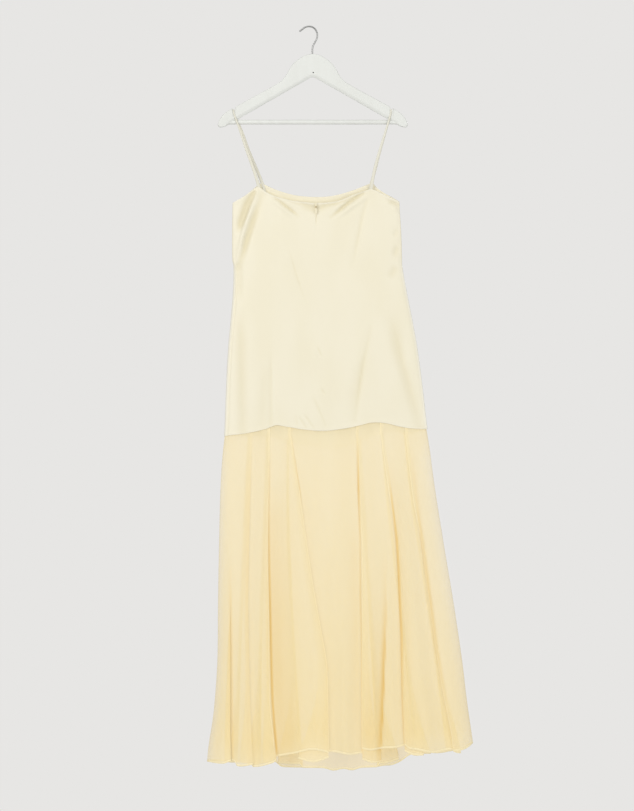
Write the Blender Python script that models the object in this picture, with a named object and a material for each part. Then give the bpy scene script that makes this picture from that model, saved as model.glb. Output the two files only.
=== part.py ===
# A strappy drop-waist maxi dress hanging on a wooden hanger, seen from its back along +Y.
# +X is to the viewer's right, +Z is up, and the origin is the underside of the hook's crown.
# Every size and table below is in millimetres. A "drop" is a distance below the origin.
# Meshes are made in metres.

import math

import bmesh
import bpy
from mathutils import Vector

MM = 0.001

# Driving sizes
SEAM_GAP = 0.3
SATIN = 1.2
CHIFFON = 1.0
WAIST_TUCK = 3.2
WAIST_OVERLAP = 4.0
TUCK_REACH = 0.12
FORM_POWER = 3.0
BODY_ROWS = 17
SKIRT_ROWS = 11
SIDE_STEPS = (0.0, 1.2, 5.0, 12.0, 23.0)

STRAP_WIDTH = 8.0
STRAP_THICKNESS = 1.2
STRAP_CLEARANCE = 0.5

HANGER_X = 6.5
HANGER_THICKNESS = 14.0
HANGER_EDGE = 2.0
NOTCH_X = 181.0
NOTCH_HALF = 5.5
NOTCH_DROP = 191.0
BAR_RADIUS = 5.0
BAR_HALF = 200.0
BAR_DROP = 217.4
BAR_SOCKET_START = 150.0
WIRE_RADIUS = 1.9
STEM_END_DROP = 76.0

SLIDER_WIDTH = 5.6
SLIDER_LENGTH = 11.0
SLIDER_THICKNESS = 2.4
SLIDER_CORNER = 0.9
SLIDER_DROP = 410.5
SLIDER_BACK = 12.7
HINGE_DROP = 413.0
HINGE_STANDOFF = 1.9
PIN_RADIUS = 0.55
EYE_BORE = 0.85
EYE_RADIUS = 1.5
EYE_WIDTH = 1.6
EAR_INNER = 1.1
EAR_OUTER = 2.0
EAR_HEIGHT = 2.6
EAR_SINK = 0.5
EAR_RIM = 0.3
TAB_LENGTH = 17.0
TAB_THICKNESS = 1.0

# The garment laid flat: columns are drop, left side, right side, half depth
OUTLINE = (
    (356, -176, 208, 9),
    (404, -176, 208, 11),
    (473, -178, 213, 14),
    (540, -175.5, 214, 16),
    (604, -176, 224, 17),
    (669, -181, 236, 17),
    (735, -187, 248, 17),
    (825, -192, 261, 17),
    (930, -194, 271, 18),
    (1041, -202, 285, 23),
    (1179, -207, 307.5, 28),
    (1317, -209.5, 330.5, 32),
    (1455, -212, 351.5, 35),
    (1547, -218, 362, 38),
    (1593, -223, 368.5, 39),
    (1650, -232, 376.5, 41),
    (1690, -236, 379, 42),
)

# Upper edges: columns are x and drop, in three stretches that meet at the straps
BACK_TOP = {
    "left armhole": ((-176, 404), (-151, 389), (-122, 369), (-115, 368)),
    "neckline": ((-115, 368), (-97, 381), (-76, 390), (-41, 399), (15, 405), (65, 400), (100, 386), (141, 372)),
    "right armhole": ((141, 372), (166, 383), (190, 394), (208, 402)),
}
FRONT_TOP = {
    "left armhole": ((-176, 404), (-151, 389), (-122, 366), (-111, 358)),
    "neckline": ((-111, 358), (-76, 374), (-34, 386), (9, 390), (51, 388), (97, 376), (145, 357)),
    "right armhole": ((145, 357), (156, 370), (175, 383), (190, 391), (208, 402)),
}

# Dropped waist seams: columns are x and drop
BACK_WAIST = (
    (-194, 940), (-142, 933), (-99, 923), (-77, 915), (-61, 917), (-12, 925), (33, 928),
    (85, 922), (117, 915), (143, 909), (175, 910.5), (207, 918), (230, 922), (271, 924),
)
FRONT_WAIST = (
    (-194, 940), (-84, 942), (-54, 951), (-6, 960), (52, 968), (104, 957), (136, 943),
    (165, 935), (197, 930), (227, 935), (271, 924),
)

# Centre-back seam: columns are drop and x
CENTRE_BACK = ((404, 15), (600, 16), (742, 19), (836, 28), (930, 36))

# Largest soft folds of the body: columns are x and drop of both ends, half width and height outwards
BACK_FOLDS = (
    (-126, 405, -143, 470, 14, 3.5),
    (-143, 470, -160, 540, 14, 3.0),
    (-112, 420, -128, 500, 16, -3.0),
    (112, 392, 62, 430, 14, -3.5),
    (125, 408, 78, 450, 14, 2.5),
    (-80, 405, -20, 436, 14, -3.0),
    (180, 650, 226, 822, 24, -4.5),
    (226, 822, 240, 900, 22, -4.0),
    (136, 720, 100, 890, 24, -3.5),
    (-91, 760, -91, 905, 18, -4.0),
)
FRONT_FOLDS = (
    (-118, 400, -60, 440, 16, -3.5),
    (128, 402, 66, 446, 16, -3.5),
    (-40, 430, 70, 430, 18, -3.0),
    (190, 560, 150, 700, 24, 3.0),
    (-150, 520, -120, 680, 24, 3.0),
    (150, 740, 120, 900, 24, -4.0),
    (-100, 760, -84, 900, 22, -4.0),
    (30, 700, 40, 880, 26, 3.0),
)

# Skirt seams, left to right. The outer gore lies on top at each seam, and its neighbour folds under
# it. Each row gives, at the five levels, the seam's x and how far the fold reaches under.
LEVELS = (930, 1080, 1250, 1450, 1690)
LAYER_STEPS = (2.0, 2.6, 3.4, 4.2, 5.0)
BACK_SEAMS = (
    {"x": (-131, -137, -141, -139, -130), "lap": (7, 12, 18, 22, 26), "lap_hem": 1688},
    {"x": (-91, -94, -95, -92, -75), "lap": (7, 10, 16, 22, 30), "lap_hem": 1690},
    {"x": (-43, -21, 4, 36, 44), "lap": (7, 38, 60, 66, 68), "lap_hem": 1687},
    {"x": (107, 112, 120, 120, 122), "lap": (7, 10, 13, 22, 40), "lap_hem": 1687},
    {"x": (162, 184, 203, 212, 219), "lap": (7, 18, 26, 34, 42), "lap_hem": 1672},
    {"x": (220, 237, 266, 294, 330), "lap": (7, 12, 15, 16, 16), "lap_hem": 1668},
)
FRONT_SEAMS = (
    {"x": (-136, -143, -150, -158, -166), "lap": (7, 10, 13, 16, 18), "lap_hem": 1694},
    {"x": (-94, -98, -104, -110, -112), "lap": (7, 12, 18, 24, 28), "lap_hem": 1696},
    {"x": (-46, -48, -46, -40, -30), "lap": (7, 18, 26, 34, 42), "lap_hem": 1704},
    {"x": (112, 120, 130, 142, 156), "lap": (7, 24, 36, 46, 54), "lap_hem": 1700},
    {"x": (164, 176, 196, 220, 246), "lap": (7, 14, 20, 26, 34), "lap_hem": 1680},
    {"x": (216, 232, 258, 288, 318), "lap": (7, 10, 13, 16, 18), "lap_hem": 1670},
)

# Gores, left to right. "hem" is the drop at the gore's left end, middle and right end. "flute" is a
# free fold between seams: its place across the gore and its height outwards at the hem.
GORE_NAMES = (
    "side_left", "left_outer", "left_inner", "centre", "right_inner", "right_outer", "side_right",
)
BACK_GORES = (
    {"hem": (1688, 1690, 1694), "flute": (0.62, 9)},
    {"hem": (1698, 1694, 1682), "flute": (0.5, 2)},
    {"hem": (1676, 1662, 1664), "flute": (0.45, 4)},
    {"hem": (1664, 1671, 1667), "flute": (0.5, 4)},
    {"hem": (1657, 1657, 1651), "flute": (0.36, 9)},
    {"hem": (1649, 1667, 1664), "flute": (0.5, 6)},
    {"hem": (1664, 1659, 1643), "flute": (0.5, 1)},
)
FRONT_GORES = (
    {"hem": (1688, 1691, 1693), "flute": (0.5, 1)},
    {"hem": (1693, 1696, 1693), "flute": (0.5, 4)},
    {"hem": (1692, 1697, 1699), "flute": (0.55, 7)},
    {"hem": (1699, 1707, 1698), "flute": (0.5, 7)},
    {"hem": (1697, 1690, 1675), "flute": (0.5, 8)},
    {"hem": (1675, 1672, 1666), "flute": (0.5, 5)},
    {"hem": (1666, 1661, 1643), "flute": (0.5, 1)},
)

# Straps: columns are x and drop, from the sewn end up to the hanger
STRAP_ROUTES = {
    "strap_left": {
        "back": ((-114, 376), (-121, 351), (-130, 323), (-145, 282), (-160, 237), (-174.5, 197)),
        "front": ((-105, 371), (-109, 358), (-123, 323), (-140, 282), (-156, 237), (-174.5, 197)),
    },
    "strap_right": {
        "back": ((141, 379), (144, 358), (150, 326), (162, 282), (176, 236), (187.5, 197)),
        "front": ((139, 371), (143, 356), (152, 323), (163, 282), (176.5, 236), (187.5, 197)),
    },
}

# Right half of the hanger's outline, clockwise from the top: columns are x from its middle and drop
HANGER_HALF = (
    (0, 61.6), (9, 62.5), (20, 66), (33.8, 75), (43, 82.6), (51.5, 93), (61.6, 111), (68, 119.5),
    (75.9, 126.5), (88, 134), (104.4, 143.3), (NOTCH_X - NOTCH_HALF, 182),
    (NOTCH_X - NOTCH_HALF, NOTCH_DROP), (NOTCH_X + NOTCH_HALF, NOTCH_DROP),
    (NOTCH_X + NOTCH_HALF, 187.5), (206.3, 201.7), (214, 211), (217.5, 219.5),
    (218.4, 225), (216, 228.6), (210, 229.6), (198, 226), (172, 211), (116.6, 179.5), (30, 130),
    (14, 121), (0, 117),
)

# Middle line of the hook's wire: columns are x and height
HOOK_ROUTE = (
    (-23.5, -9.9), (-17.3, -5.4), (-9.7, 0.1), (-0.5, 1.9), (8.5, -0.6), (15.2, -7.8), (17.9, -17.7),
    (16.2, -27.6), (11.6, -35.9), (8.0, -43.0), (6.6, -50.5), (6.5, -62.0), (6.5, -STEM_END_DROP),
)

# Pull tab's half outline: columns are half width and distance below the hinge
TAB_HALF = ((0.9, 1.0), (0.9, 3.5), (1.4, 6.0), (2.3, 10.0), (2.6, 13.0), (2.3, 15.4), (1.3, 16.7))


def smoothAt(x, points):
    """Height at x of a smooth curve through (x, height) points, level beyond its ends."""
    if x <= points[0][0]:
        return points[0][1]
    if x >= points[-1][0]:
        return points[-1][1]
    i = max(k for k in range(len(points) - 1) if points[k][0] <= x)

    def slope(k):
        low, high = points[max(k - 1, 0)], points[min(k + 1, len(points) - 1)]
        return (high[1] - low[1]) / (high[0] - low[0])

    (x0, y0), (x1, y1) = points[i], points[i + 1]
    span = x1 - x0
    t = (x - x0) / span
    start = (2 * t ** 3 - 3 * t ** 2 + 1) * y0 + (t ** 3 - 2 * t ** 2 + t) * span * slope(i)
    end = (3 * t ** 2 - 2 * t ** 3) * y1 + (t ** 3 - t ** 2) * span * slope(i + 1)
    return start + end


def outlineAt(drop, column):
    return smoothAt(drop, [(row[0], row[column]) for row in OUTLINE])


def topAt(x, stretches):
    """Drop of an upper edge at x."""
    if x < stretches["neckline"][0][0]:
        return smoothAt(x, stretches["left armhole"])
    if x > stretches["neckline"][-1][0]:
        return smoothAt(x, stretches["right armhole"])
    return smoothAt(x, stretches["neckline"])


def formDepth(x, drop, inset=0.0):
    """Distance of the cloth's middle from the plane between front and back."""
    left = outlineAt(drop, 1) + inset
    right = outlineAt(drop, 2) - inset
    depth = outlineAt(drop, 3) - inset
    across = min(1.0, abs(2 * (x - left) / (right - left) - 1))
    return SEAM_GAP / 2 + depth * math.sqrt(1 - across ** FORM_POWER)


def foldDepth(x, drop, folds):
    """Sum of the soft ridges and troughs at a point, fading past their ends."""
    total = 0.0
    for x0, drop0, x1, drop1, halfWidth, height in folds:
        along = Vector((x1 - x0, drop1 - drop0))
        offset = Vector((x - x0, drop - drop0))
        t = min(1.0, max(0.0, offset.dot(along) / along.length_squared))
        total += height * math.exp(-((offset - along * t).length / halfWidth) ** 2)
    return total


def newMaterial(name, colour, roughness, metallic=0.0):
    material = bpy.data.materials.new(name)
    material.use_nodes = True
    shader = material.node_tree.nodes["Principled BSDF"]
    shader.inputs["Base Color"].default_value = (*colour, 1.0)
    shader.inputs["Roughness"].default_value = roughness
    shader.inputs["Metallic"].default_value = metallic
    material.diffuse_color = (*colour, 1.0)
    return material


def addObject(name, bm, material, sharpAngle=40.0):
    """Makes a mesh object from millimetre geometry, in metres, shaded smooth."""
    bmesh.ops.scale(bm, vec=(MM, MM, MM), verts=bm.verts)
    bmesh.ops.recalc_face_normals(bm, faces=bm.faces)
    mesh = bpy.data.meshes.new(name)
    bm.to_mesh(mesh)
    bm.free()
    mesh.materials.append(material)
    mesh.shade_smooth()
    mesh.set_sharp_from_angle(angle=math.radians(sharpAngle))
    obj = bpy.data.objects.new(name, mesh)
    bpy.context.collection.objects.link(obj)
    return obj


def wallMesh(rows, thickness, sideEnds):
    """Closed wall around rows of middle points. sideEnds says which ends are side seams, where the
    wall ends square on the plane between front and back."""
    bm = bmesh.new()
    grid = []
    for row in rows:
        line = []
        last = len(row) - 1
        for i, point in enumerate(row):
            before, after = row[max(i - 1, 0)], row[min(i + 1, last)]
            across = Vector((after.x - before.x, after.y - before.y)).normalized()
            if (i == 0 and sideEnds[0]) or (i == last and sideEnds[1]):
                across = Vector((0.0, math.copysign(1.0, across.y)))
            aside = Vector((-across.y, across.x, 0.0)) * (thickness / 2)
            line.append((bm.verts.new(point + aside), bm.verts.new(point - aside)))
        grid.append(line)
    for upper, lower in zip(grid, grid[1:]):
        for i in range(len(upper) - 1):
            for side in (0, 1):
                bm.faces.new((upper[i][side], upper[i + 1][side], lower[i + 1][side], lower[i][side]))
        for i in (0, len(upper) - 1):
            bm.faces.new((upper[i][0], upper[i][1], lower[i][1], lower[i][0]))
    for line in (grid[0], grid[-1]):
        for i in range(len(line) - 1):
            bm.faces.new((line[i][0], line[i + 1][0], line[i + 1][1], line[i][1]))
    return bm


def bodyColumns(start, end, fractions):
    """Positions from a side seam at start to end: fine steps at the seam, then the rest."""
    way = math.copysign(1.0, end - start)
    near = [start + way * step for step in SIDE_STEPS]
    return near + [near[-1] + (end - near[-1]) * f for f in fractions]


def bodyPanel(name, material, facing, top, waist, folds, columnsAt, sideEnds):
    """One satin panel. facing is -1 for the back and 1 for the front, and columnsAt gives the
    panel's column positions at a drop."""
    rows = []
    count = len(columnsAt(OUTLINE[0][0]))
    for r in range(BODY_ROWS + 1):
        v = r / BODY_ROWS
        row = []
        for i in range(count):
            # The place across depends on the drop and the drop on the place, so both are found in turns
            drop = OUTLINE[0][0]
            for _ in range(4):
                x = columnsAt(drop)[i]
                drop = topAt(x, top) * (1 - v) + smoothAt(x, waist) * v
            fade = min(1.0, 6 * v, 12 * (1 - v)) * min(1.0, formDepth(x, drop) / 6)
            depth = formDepth(x, drop) + fade * foldDepth(x, drop, folds)
            row.append(Vector((x, facing * depth, -drop)))
        rows.append(row)
    return addObject(name, wallMesh(rows, SATIN, sideEnds), material)


def makeBody(satin):
    def leftHalf(drop):
        seam = smoothAt(drop, CENTRE_BACK) - SEAM_GAP / 2
        return bodyColumns(outlineAt(drop, 1), seam, (0.11, 0.23, 0.36, 0.5, 0.63, 0.76, 0.88, 1))

    def rightHalf(drop):
        seam = smoothAt(drop, CENTRE_BACK) + SEAM_GAP / 2
        columns = bodyColumns(outlineAt(drop, 2), seam, (0.13, 0.263, 0.39, 0.52, 0.64, 0.76, 0.88, 1))
        return columns[::-1]

    def wholeWidth(drop):
        left, right = outlineAt(drop, 1), outlineAt(drop, 2)
        inner = (0.063, 0.126, 0.23, 0.34, 0.45, 0.555, 0.66, 0.77, 0.879, 0.94)
        columns = bodyColumns(left, right - SIDE_STEPS[-1], inner)
        return columns + [right - step for step in reversed(SIDE_STEPS)]

    bodyPanel("bodice_back_left", satin, -1, BACK_TOP, BACK_WAIST, BACK_FOLDS, leftHalf, (True, False))
    bodyPanel("bodice_back_right", satin, -1, BACK_TOP, BACK_WAIST, BACK_FOLDS, rightHalf, (False, True))
    bodyPanel("bodice_front", satin, 1, FRONT_TOP, FRONT_WAIST, FRONT_FOLDS, wholeWidth, (True, True))


class SkirtRow:
    """Where the seams, folds and layers of one skirt lie at one level, v from 0 to 1."""

    def __init__(self, v, seams, gores):
        drop = LEVELS[0] + v * (LEVELS[-1] - LEVELS[0])
        self.v = v
        self.inset = WAIST_TUCK * max(0.0, 1 - v / TUCK_REACH)
        self.step = smoothAt(drop, list(zip(LEVELS, LAYER_STEPS)))
        self.seams = [smoothAt(drop, list(zip(LEVELS, seam["x"]))) for seam in seams]
        self.laps = [smoothAt(drop, list(zip(LEVELS, seam["lap"]))) for seam in seams]
        self.lapHems = [seam["lap_hem"] for seam in seams]
        self.gores = gores

    def ends(self, gore):
        """Left and right ends of a gore's visible stretch."""
        sideDrop = LEVELS[0] + self.v * (self.gores[gore]["hem"][1] - LEVELS[0])
        left = self.seams[gore - 1] if gore else outlineAt(sideDrop, 1) + self.inset
        isLast = gore == len(self.seams)
        right = outlineAt(sideDrop, 2) - self.inset if isLast else self.seams[gore]
        return left, right

    def layerDepth(self, gore, x):
        """How far inside the form the visible stretch of a gore lies at x."""
        left, right = self.ends(gore)
        f = min(1.0, max(0.0, (x - left) / (right - left)))
        middle = len(self.gores) // 2
        if gore == middle:
            sunk = 0.75 + 0.25 * math.cos(2 * math.pi * f)
        elif gore in (0, len(self.gores) - 1):
            sunk = 0.0
        else:
            sunk = 0.5 + 0.5 * math.cos(math.pi * (f if gore < middle else 1 - f))
        place, height = self.gores[gore]["flute"]
        flute = height * self.v ** 1.5 * math.exp(-((f - place) / 0.16) ** 2)
        return 2 * self.step * sunk - flute

    def lapPoints(self, seam, way):
        """A fold under the outer gore at a seam, from the seam's edge inwards: (x, depth) pairs."""
        outer = seam if way < 0 else seam + 1
        x0, reach, step = self.seams[seam], self.laps[seam], self.step
        start = CHIFFON + SEAM_GAP
        points = []
        for s in (0.0, 0.5, 1.0):
            x = x0 + way * reach * s
            layer = start + (step - start) * math.sin(math.pi / 2 * s)
            points.append((x, self.layerDepth(outer, x) + layer))
        turn = x0 + way * reach
        base = self.layerDepth(outer, turn)
        for angle in (math.pi / 3, 2 * math.pi / 3):
            x = turn + way * step / 2 * math.sin(angle)
            points.append((x, base + 1.5 * step - step / 2 * math.cos(angle)))
        for s in (1.0, 0.5):
            x = x0 + way * reach * s
            points.append((x, self.layerDepth(outer, x) + 2 * step))
        return points


def gorePath(row, gore):
    """Points of one gore at one level, left to right along the cloth: (x, depth, hem drop)."""
    last = len(row.gores) - 1
    middle = last // 2
    left, right = row.ends(gore)
    hem = list(zip((left, (left + right) / 2, right), row.gores[gore]["hem"]))
    path = []
    if 0 < gore <= middle:
        lap = row.lapPoints(gore - 1, -1)
        path += [(x, depth, lapHem(row, gore - 1, gore - 1, i)) for i, (x, depth) in enumerate(lap)]
    if gore == 0:
        places = bodyColumns(left, right, (0.17, 0.34, 0.5, 0.67, 0.84, 1))
    elif gore == last:
        places = bodyColumns(right, left, (0.5, 1))[::-1]
    else:
        count = 6
        places = [left + (right - left) * i / count for i in range(count + 1)]
    path += [(x, row.layerDepth(gore, x), smoothAt(x, hem)) for x in places]
    if middle <= gore < last:
        lap = row.lapPoints(gore, 1)
        folded = [(x, depth, lapHem(row, gore, gore + 1, i)) for i, (x, depth) in enumerate(lap)]
        path += folded[::-1]
    return path


def lapHem(row, seam, outer, i):
    """Hem drop of a fold's point i: level with the outer gore at the seam, its own at the turn."""
    edge = row.gores[outer]["hem"][2 if outer == seam else 0]
    share = (0.0, 0.6, 1.0, 1.0, 1.0, 1.0, 0.6)[i]
    return edge + (row.lapHems[seam] - edge) * share


def makeSkirt(side, facing, seams, gores, waist, chiffon):
    """Seven gores, from the dropped waist to the hem."""
    levels = [r / SKIRT_ROWS for r in range(SKIRT_ROWS + 1)]
    skirtRows = [SkirtRow(v, seams, gores) for v in levels]
    for gore, goreName in enumerate(GORE_NAMES):
        tops = [smoothAt(x, waist) - WAIST_OVERLAP for x, depth, hem in gorePath(skirtRows[0], gore)]
        rows = []
        for row in skirtRows:
            line = []
            path = gorePath(row, gore)
            for i, (top, (x, depth, hem)) in enumerate(zip(tops, path)):
                drop = top + row.v * (hem - top)
                if gore == 0 and i < len(SIDE_STEPS):
                    x = outlineAt(drop, 1) + row.inset + SIDE_STEPS[i]
                fromRight = len(path) - 1 - i
                if gore == len(gores) - 1 and fromRight < len(SIDE_STEPS):
                    x = outlineAt(drop, 2) - row.inset - SIDE_STEPS[fromRight]
                form = formDepth(x, drop, row.inset)
                line.append(Vector((x, facing * (form - depth), -drop)))
            rows.append(line)
        sideEnds = (gore == 0, gore == len(gores) - 1)
        addObject(f"skirt_{side}_{goreName}", wallMesh(rows, CHIFFON, sideEnds), chiffon)


def ribbonMesh(points, width, thickness):
    """Flat ribbon along a route, with its width kept as near to X as the route allows."""
    bm = bmesh.new()
    rings = []
    for i, point in enumerate(points):
        ahead = (points[min(i + 1, len(points) - 1)] - points[max(i - 1, 0)]).normalized()
        wide = Vector((1, 0, 0))
        wide = (wide - ahead * wide.dot(ahead)).normalized() * (width / 2)
        thick = ahead.cross(wide).normalized() * (thickness / 2)
        corners = (wide + thick, wide - thick, -wide - thick, -wide + thick)
        rings.append([bm.verts.new(point + corner) for corner in corners])
    for ring, following in zip(rings, rings[1:]):
        for i in range(4):
            bm.faces.new((ring[i], ring[(i + 1) % 4], following[(i + 1) % 4], following[i]))
    bm.faces.new(rings[0])
    bm.faces.new(rings[-1])
    return bm


def strapHalf(route, facing):
    """Points of one half of a strap, from its sewn end to the hanger's face."""
    sewn = formDepth(*route[0]) + SATIN / 2 + STRAP_CLEARANCE + STRAP_THICKNESS / 2
    high = HANGER_THICKNESS / 2 + SEAM_GAP + STRAP_THICKNESS / 2
    places = [(drop, x) for x, drop in reversed(route)]
    low, top = route[0][1], route[-1][1]
    count = 9
    points = []
    for i in range(count + 1):
        drop = low + (top - low) * i / count
        depth = sewn + (high - sewn) * i / count
        points.append(Vector((smoothAt(drop, places), facing * depth, -drop)))
    return points


def makeStraps(satin):
    turn = HANGER_EDGE + SEAM_GAP + STRAP_THICKNESS / 2
    for name, routes in STRAP_ROUTES.items():
        back, front = strapHalf(routes["back"], -1), strapHalf(routes["front"], 1)
        x = routes["back"][-1][0]
        over = []
        for facing, angles in ((-1, (0, 30, 60, 90)), (1, (90, 60, 30, 0))):
            for angle in angles:
                across = HANGER_THICKNESS / 2 - HANGER_EDGE + turn * math.cos(math.radians(angle))
                up = turn * math.sin(math.radians(angle)) - HANGER_EDGE
                over.append(Vector((x, facing * across, up - NOTCH_DROP)))
        points = back + over + front[::-1]
        addObject(name, ribbonMesh(points, STRAP_WIDTH, STRAP_THICKNESS), satin)


def addCylinder(name, radius, length, centre, axis, sides, material):
    """Cylinder along X, Y or Z, as an object."""
    bm = bmesh.new()
    bmesh.ops.create_cone(bm, cap_ends=True, segments=sides, radius1=radius, radius2=radius, depth=length)
    turn = Vector((0, 0, 1)).rotation_difference(Vector(axis)).to_matrix()
    bmesh.ops.rotate(bm, matrix=turn, verts=bm.verts)
    bmesh.ops.translate(bm, vec=centre, verts=bm.verts)
    return addObject(name, bm, material)


def cutWith(obj, cutter, operation="DIFFERENCE"):
    cutter.hide_render = True
    cutter.display_type = "WIRE"
    modifier = obj.modifiers.new(cutter.name, "BOOLEAN")
    modifier.operation = operation
    modifier.object = cutter


def outlinePlate(points, thickness, y=0.0):
    """Plate of an (x, z) outline, with its faces at y plus and minus half its thickness."""
    bm = bmesh.new()
    front = [bm.verts.new((x, y - thickness / 2, z)) for x, z in points]
    face = bm.faces.new(front)
    pushed = bmesh.ops.extrude_face_region(bm, geom=[face])
    moved = [item for item in pushed["geom"] if isinstance(item, bmesh.types.BMVert)]
    bmesh.ops.translate(bm, vec=(0, thickness, 0), verts=moved)
    return bm


def makeHanger(paint, chrome):
    right = [(HANGER_X + x, -drop) for x, drop in HANGER_HALF]
    left = [(HANGER_X - x, -drop) for x, drop in HANGER_HALF[1:-1]]
    body = addObject("hanger_body", outlinePlate(right + left[::-1], HANGER_THICKNESS), paint, 30.0)
    edge = body.modifiers.new("Rounded edges", "BEVEL")
    edge.width = HANGER_EDGE * MM
    edge.segments = 2
    edge.limit_method = "ANGLE"
    edge.angle_limit = math.radians(60)
    edge.use_clamp_overlap = False

    socketLength = BAR_HALF + SEAM_GAP - BAR_SOCKET_START
    for name, way in (("left socket cutter", -1), ("right socket cutter", 1)):
        centre = (HANGER_X + way * (BAR_SOCKET_START + socketLength / 2), 0, -BAR_DROP)
        cutter = addCylinder(name, BAR_RADIUS + SEAM_GAP, socketLength, centre, (1, 0, 0), 16, paint)
        cutWith(body, cutter)
    boreLength = 2 * (STEM_END_DROP + SEAM_GAP - HANGER_HALF[0][1])
    centre = (HANGER_X, 0, -HANGER_HALF[0][1])
    bore = addCylinder("stem bore cutter", WIRE_RADIUS + SEAM_GAP, boreLength, centre, (0, 0, 1), 12, paint)
    cutWith(body, bore)

    addCylinder("hanger_bar", BAR_RADIUS, 2 * BAR_HALF, (HANGER_X, 0, -BAR_DROP), (1, 0, 0), 16, paint)

    curve = bpy.data.curves.new("hanger_hook", "CURVE")
    curve.dimensions = "3D"
    curve.bevel_depth = WIRE_RADIUS * MM
    curve.bevel_resolution = 2
    curve.use_fill_caps = True
    lengths = [0.0]
    for (x0, z0), (x1, z1) in zip(HOOK_ROUTE, HOOK_ROUTE[1:]):
        lengths.append(lengths[-1] + math.hypot(x1 - x0, z1 - z0))
    xs = list(zip(lengths, [x for x, z in HOOK_ROUTE]))
    zs = list(zip(lengths, [z for x, z in HOOK_ROUTE]))
    count = 34
    places = [lengths[-1] * i / count for i in range(count + 1)]
    spline = curve.splines.new("POLY")
    spline.points.add(count)
    for point, s in zip(spline.points, places):
        point.co = (smoothAt(s, xs) * MM, 0, smoothAt(s, zs) * MM, 1)
    curve.materials.append(chrome)
    hook = bpy.data.objects.new("hanger_hook", curve)
    bpy.context.collection.objects.link(hook)


def makeZip(pale, hingeX, hingeY):
    """Slider with its ears and pin, and the pull tab whose origin is on the pin."""
    bm = bmesh.new()
    bmesh.ops.create_cube(bm, size=1.0)
    bmesh.ops.scale(bm, vec=(SLIDER_WIDTH, SLIDER_THICKNESS, SLIDER_LENGTH), verts=bm.verts)
    upright = [e for e in bm.edges if abs(e.verts[0].co.x - e.verts[1].co.x) < 1e-6]
    bmesh.ops.bevel(bm, geom=upright, offset=SLIDER_CORNER, segments=2, affect="EDGES")
    bmesh.ops.translate(bm, vec=(hingeX, -SLIDER_BACK - SLIDER_THICKNESS / 2, -SLIDER_DROP), verts=bm.verts)
    slider = addObject("zip_slider", bm, pale)
    earWidth = EAR_OUTER - EAR_INNER
    earDepth = HINGE_STANDOFF + PIN_RADIUS + EAR_SINK
    earY = hingeY + earDepth / 2 - PIN_RADIUS - EAR_RIM
    for name, way in (("left ear", -1), ("right ear", 1)):
        ear = bmesh.new()
        bmesh.ops.create_cube(ear, size=1.0)
        bmesh.ops.scale(ear, vec=(earWidth, earDepth, EAR_HEIGHT), verts=ear.verts)
        place = (hingeX + way * (EAR_INNER + earWidth / 2), earY, -HINGE_DROP)
        bmesh.ops.translate(ear, vec=place, verts=ear.verts)
        cutWith(slider, addObject(name, ear, pale), "UNION")
    pin = addCylinder(
        "pin", PIN_RADIUS, EAR_INNER + EAR_OUTER, (hingeX, hingeY, -HINGE_DROP), (1, 0, 0), 10, pale)
    cutWith(slider, pin, "UNION")

    outline = [(x, -z) for x, z in TAB_HALF] + [(0.0, -TAB_LENGTH)] + [(-x, -z) for x, z in reversed(TAB_HALF)]
    tab = addObject("zip_pull_tab", outlinePlate(outline, TAB_THICKNESS), pale)
    eye = addCylinder("eye", EYE_RADIUS, EYE_WIDTH, (0, 0, 0), (1, 0, 0), 14, pale)
    bore = addCylinder("eye bore cutter", EYE_BORE, 2 * EYE_WIDTH, (0, 0, 0), (1, 0, 0), 12, pale)
    cutWith(tab, eye, "UNION")
    cutWith(tab, bore)
    for obj in (tab, eye, bore):
        obj.location = Vector((hingeX, hingeY, -HINGE_DROP)) * MM


def main():
    for obj in list(bpy.data.objects):
        bpy.data.objects.remove(obj, do_unlink=True)

    satin = newMaterial("Ivory satin", (0.90, 0.84, 0.66), 0.38)
    chiffon = newMaterial("Pale yellow chiffon", (0.90, 0.77, 0.50), 0.75)
    pale = newMaterial("Lacquered zip metal", (0.86, 0.80, 0.62), 0.3)
    paint = newMaterial("White painted wood", (0.82, 0.82, 0.79), 0.35)
    chrome = newMaterial("Chrome wire", (0.62, 0.62, 0.61), 0.15, 1.0)

    makeBody(satin)
    makeStraps(satin)
    makeSkirt("back", -1, BACK_SEAMS, BACK_GORES, BACK_WAIST, chiffon)
    makeSkirt("front", 1, FRONT_SEAMS, FRONT_GORES, FRONT_WAIST, chiffon)
    makeHanger(paint, chrome)
    hingeY = -SLIDER_BACK - SLIDER_THICKNESS - HINGE_STANDOFF
    makeZip(pale, smoothAt(SLIDER_DROP, CENTRE_BACK), hingeY)


main()
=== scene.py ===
# A drop-waist maxi dress, satin above and sheer chiffon below, hung on a white wooden hanger.
import math
from bisect import bisect_right

import bmesh
import bpy
import numpy as np
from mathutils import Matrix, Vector


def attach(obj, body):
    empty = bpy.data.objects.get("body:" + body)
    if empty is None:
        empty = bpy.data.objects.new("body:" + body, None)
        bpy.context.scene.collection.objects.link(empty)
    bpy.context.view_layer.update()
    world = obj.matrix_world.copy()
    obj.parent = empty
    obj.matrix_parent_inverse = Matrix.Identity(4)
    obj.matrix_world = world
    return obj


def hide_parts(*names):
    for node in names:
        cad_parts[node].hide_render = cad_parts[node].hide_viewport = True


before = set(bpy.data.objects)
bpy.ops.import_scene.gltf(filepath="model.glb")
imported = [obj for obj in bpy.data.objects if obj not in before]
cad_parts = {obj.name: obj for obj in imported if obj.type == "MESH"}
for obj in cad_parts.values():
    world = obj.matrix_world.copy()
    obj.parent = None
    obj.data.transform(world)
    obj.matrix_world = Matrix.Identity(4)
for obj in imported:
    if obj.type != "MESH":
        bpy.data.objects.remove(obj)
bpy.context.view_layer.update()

# Every size below is in millimetres, x to the right and "drop" down from the hook's crown
mm = 0.001
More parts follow.
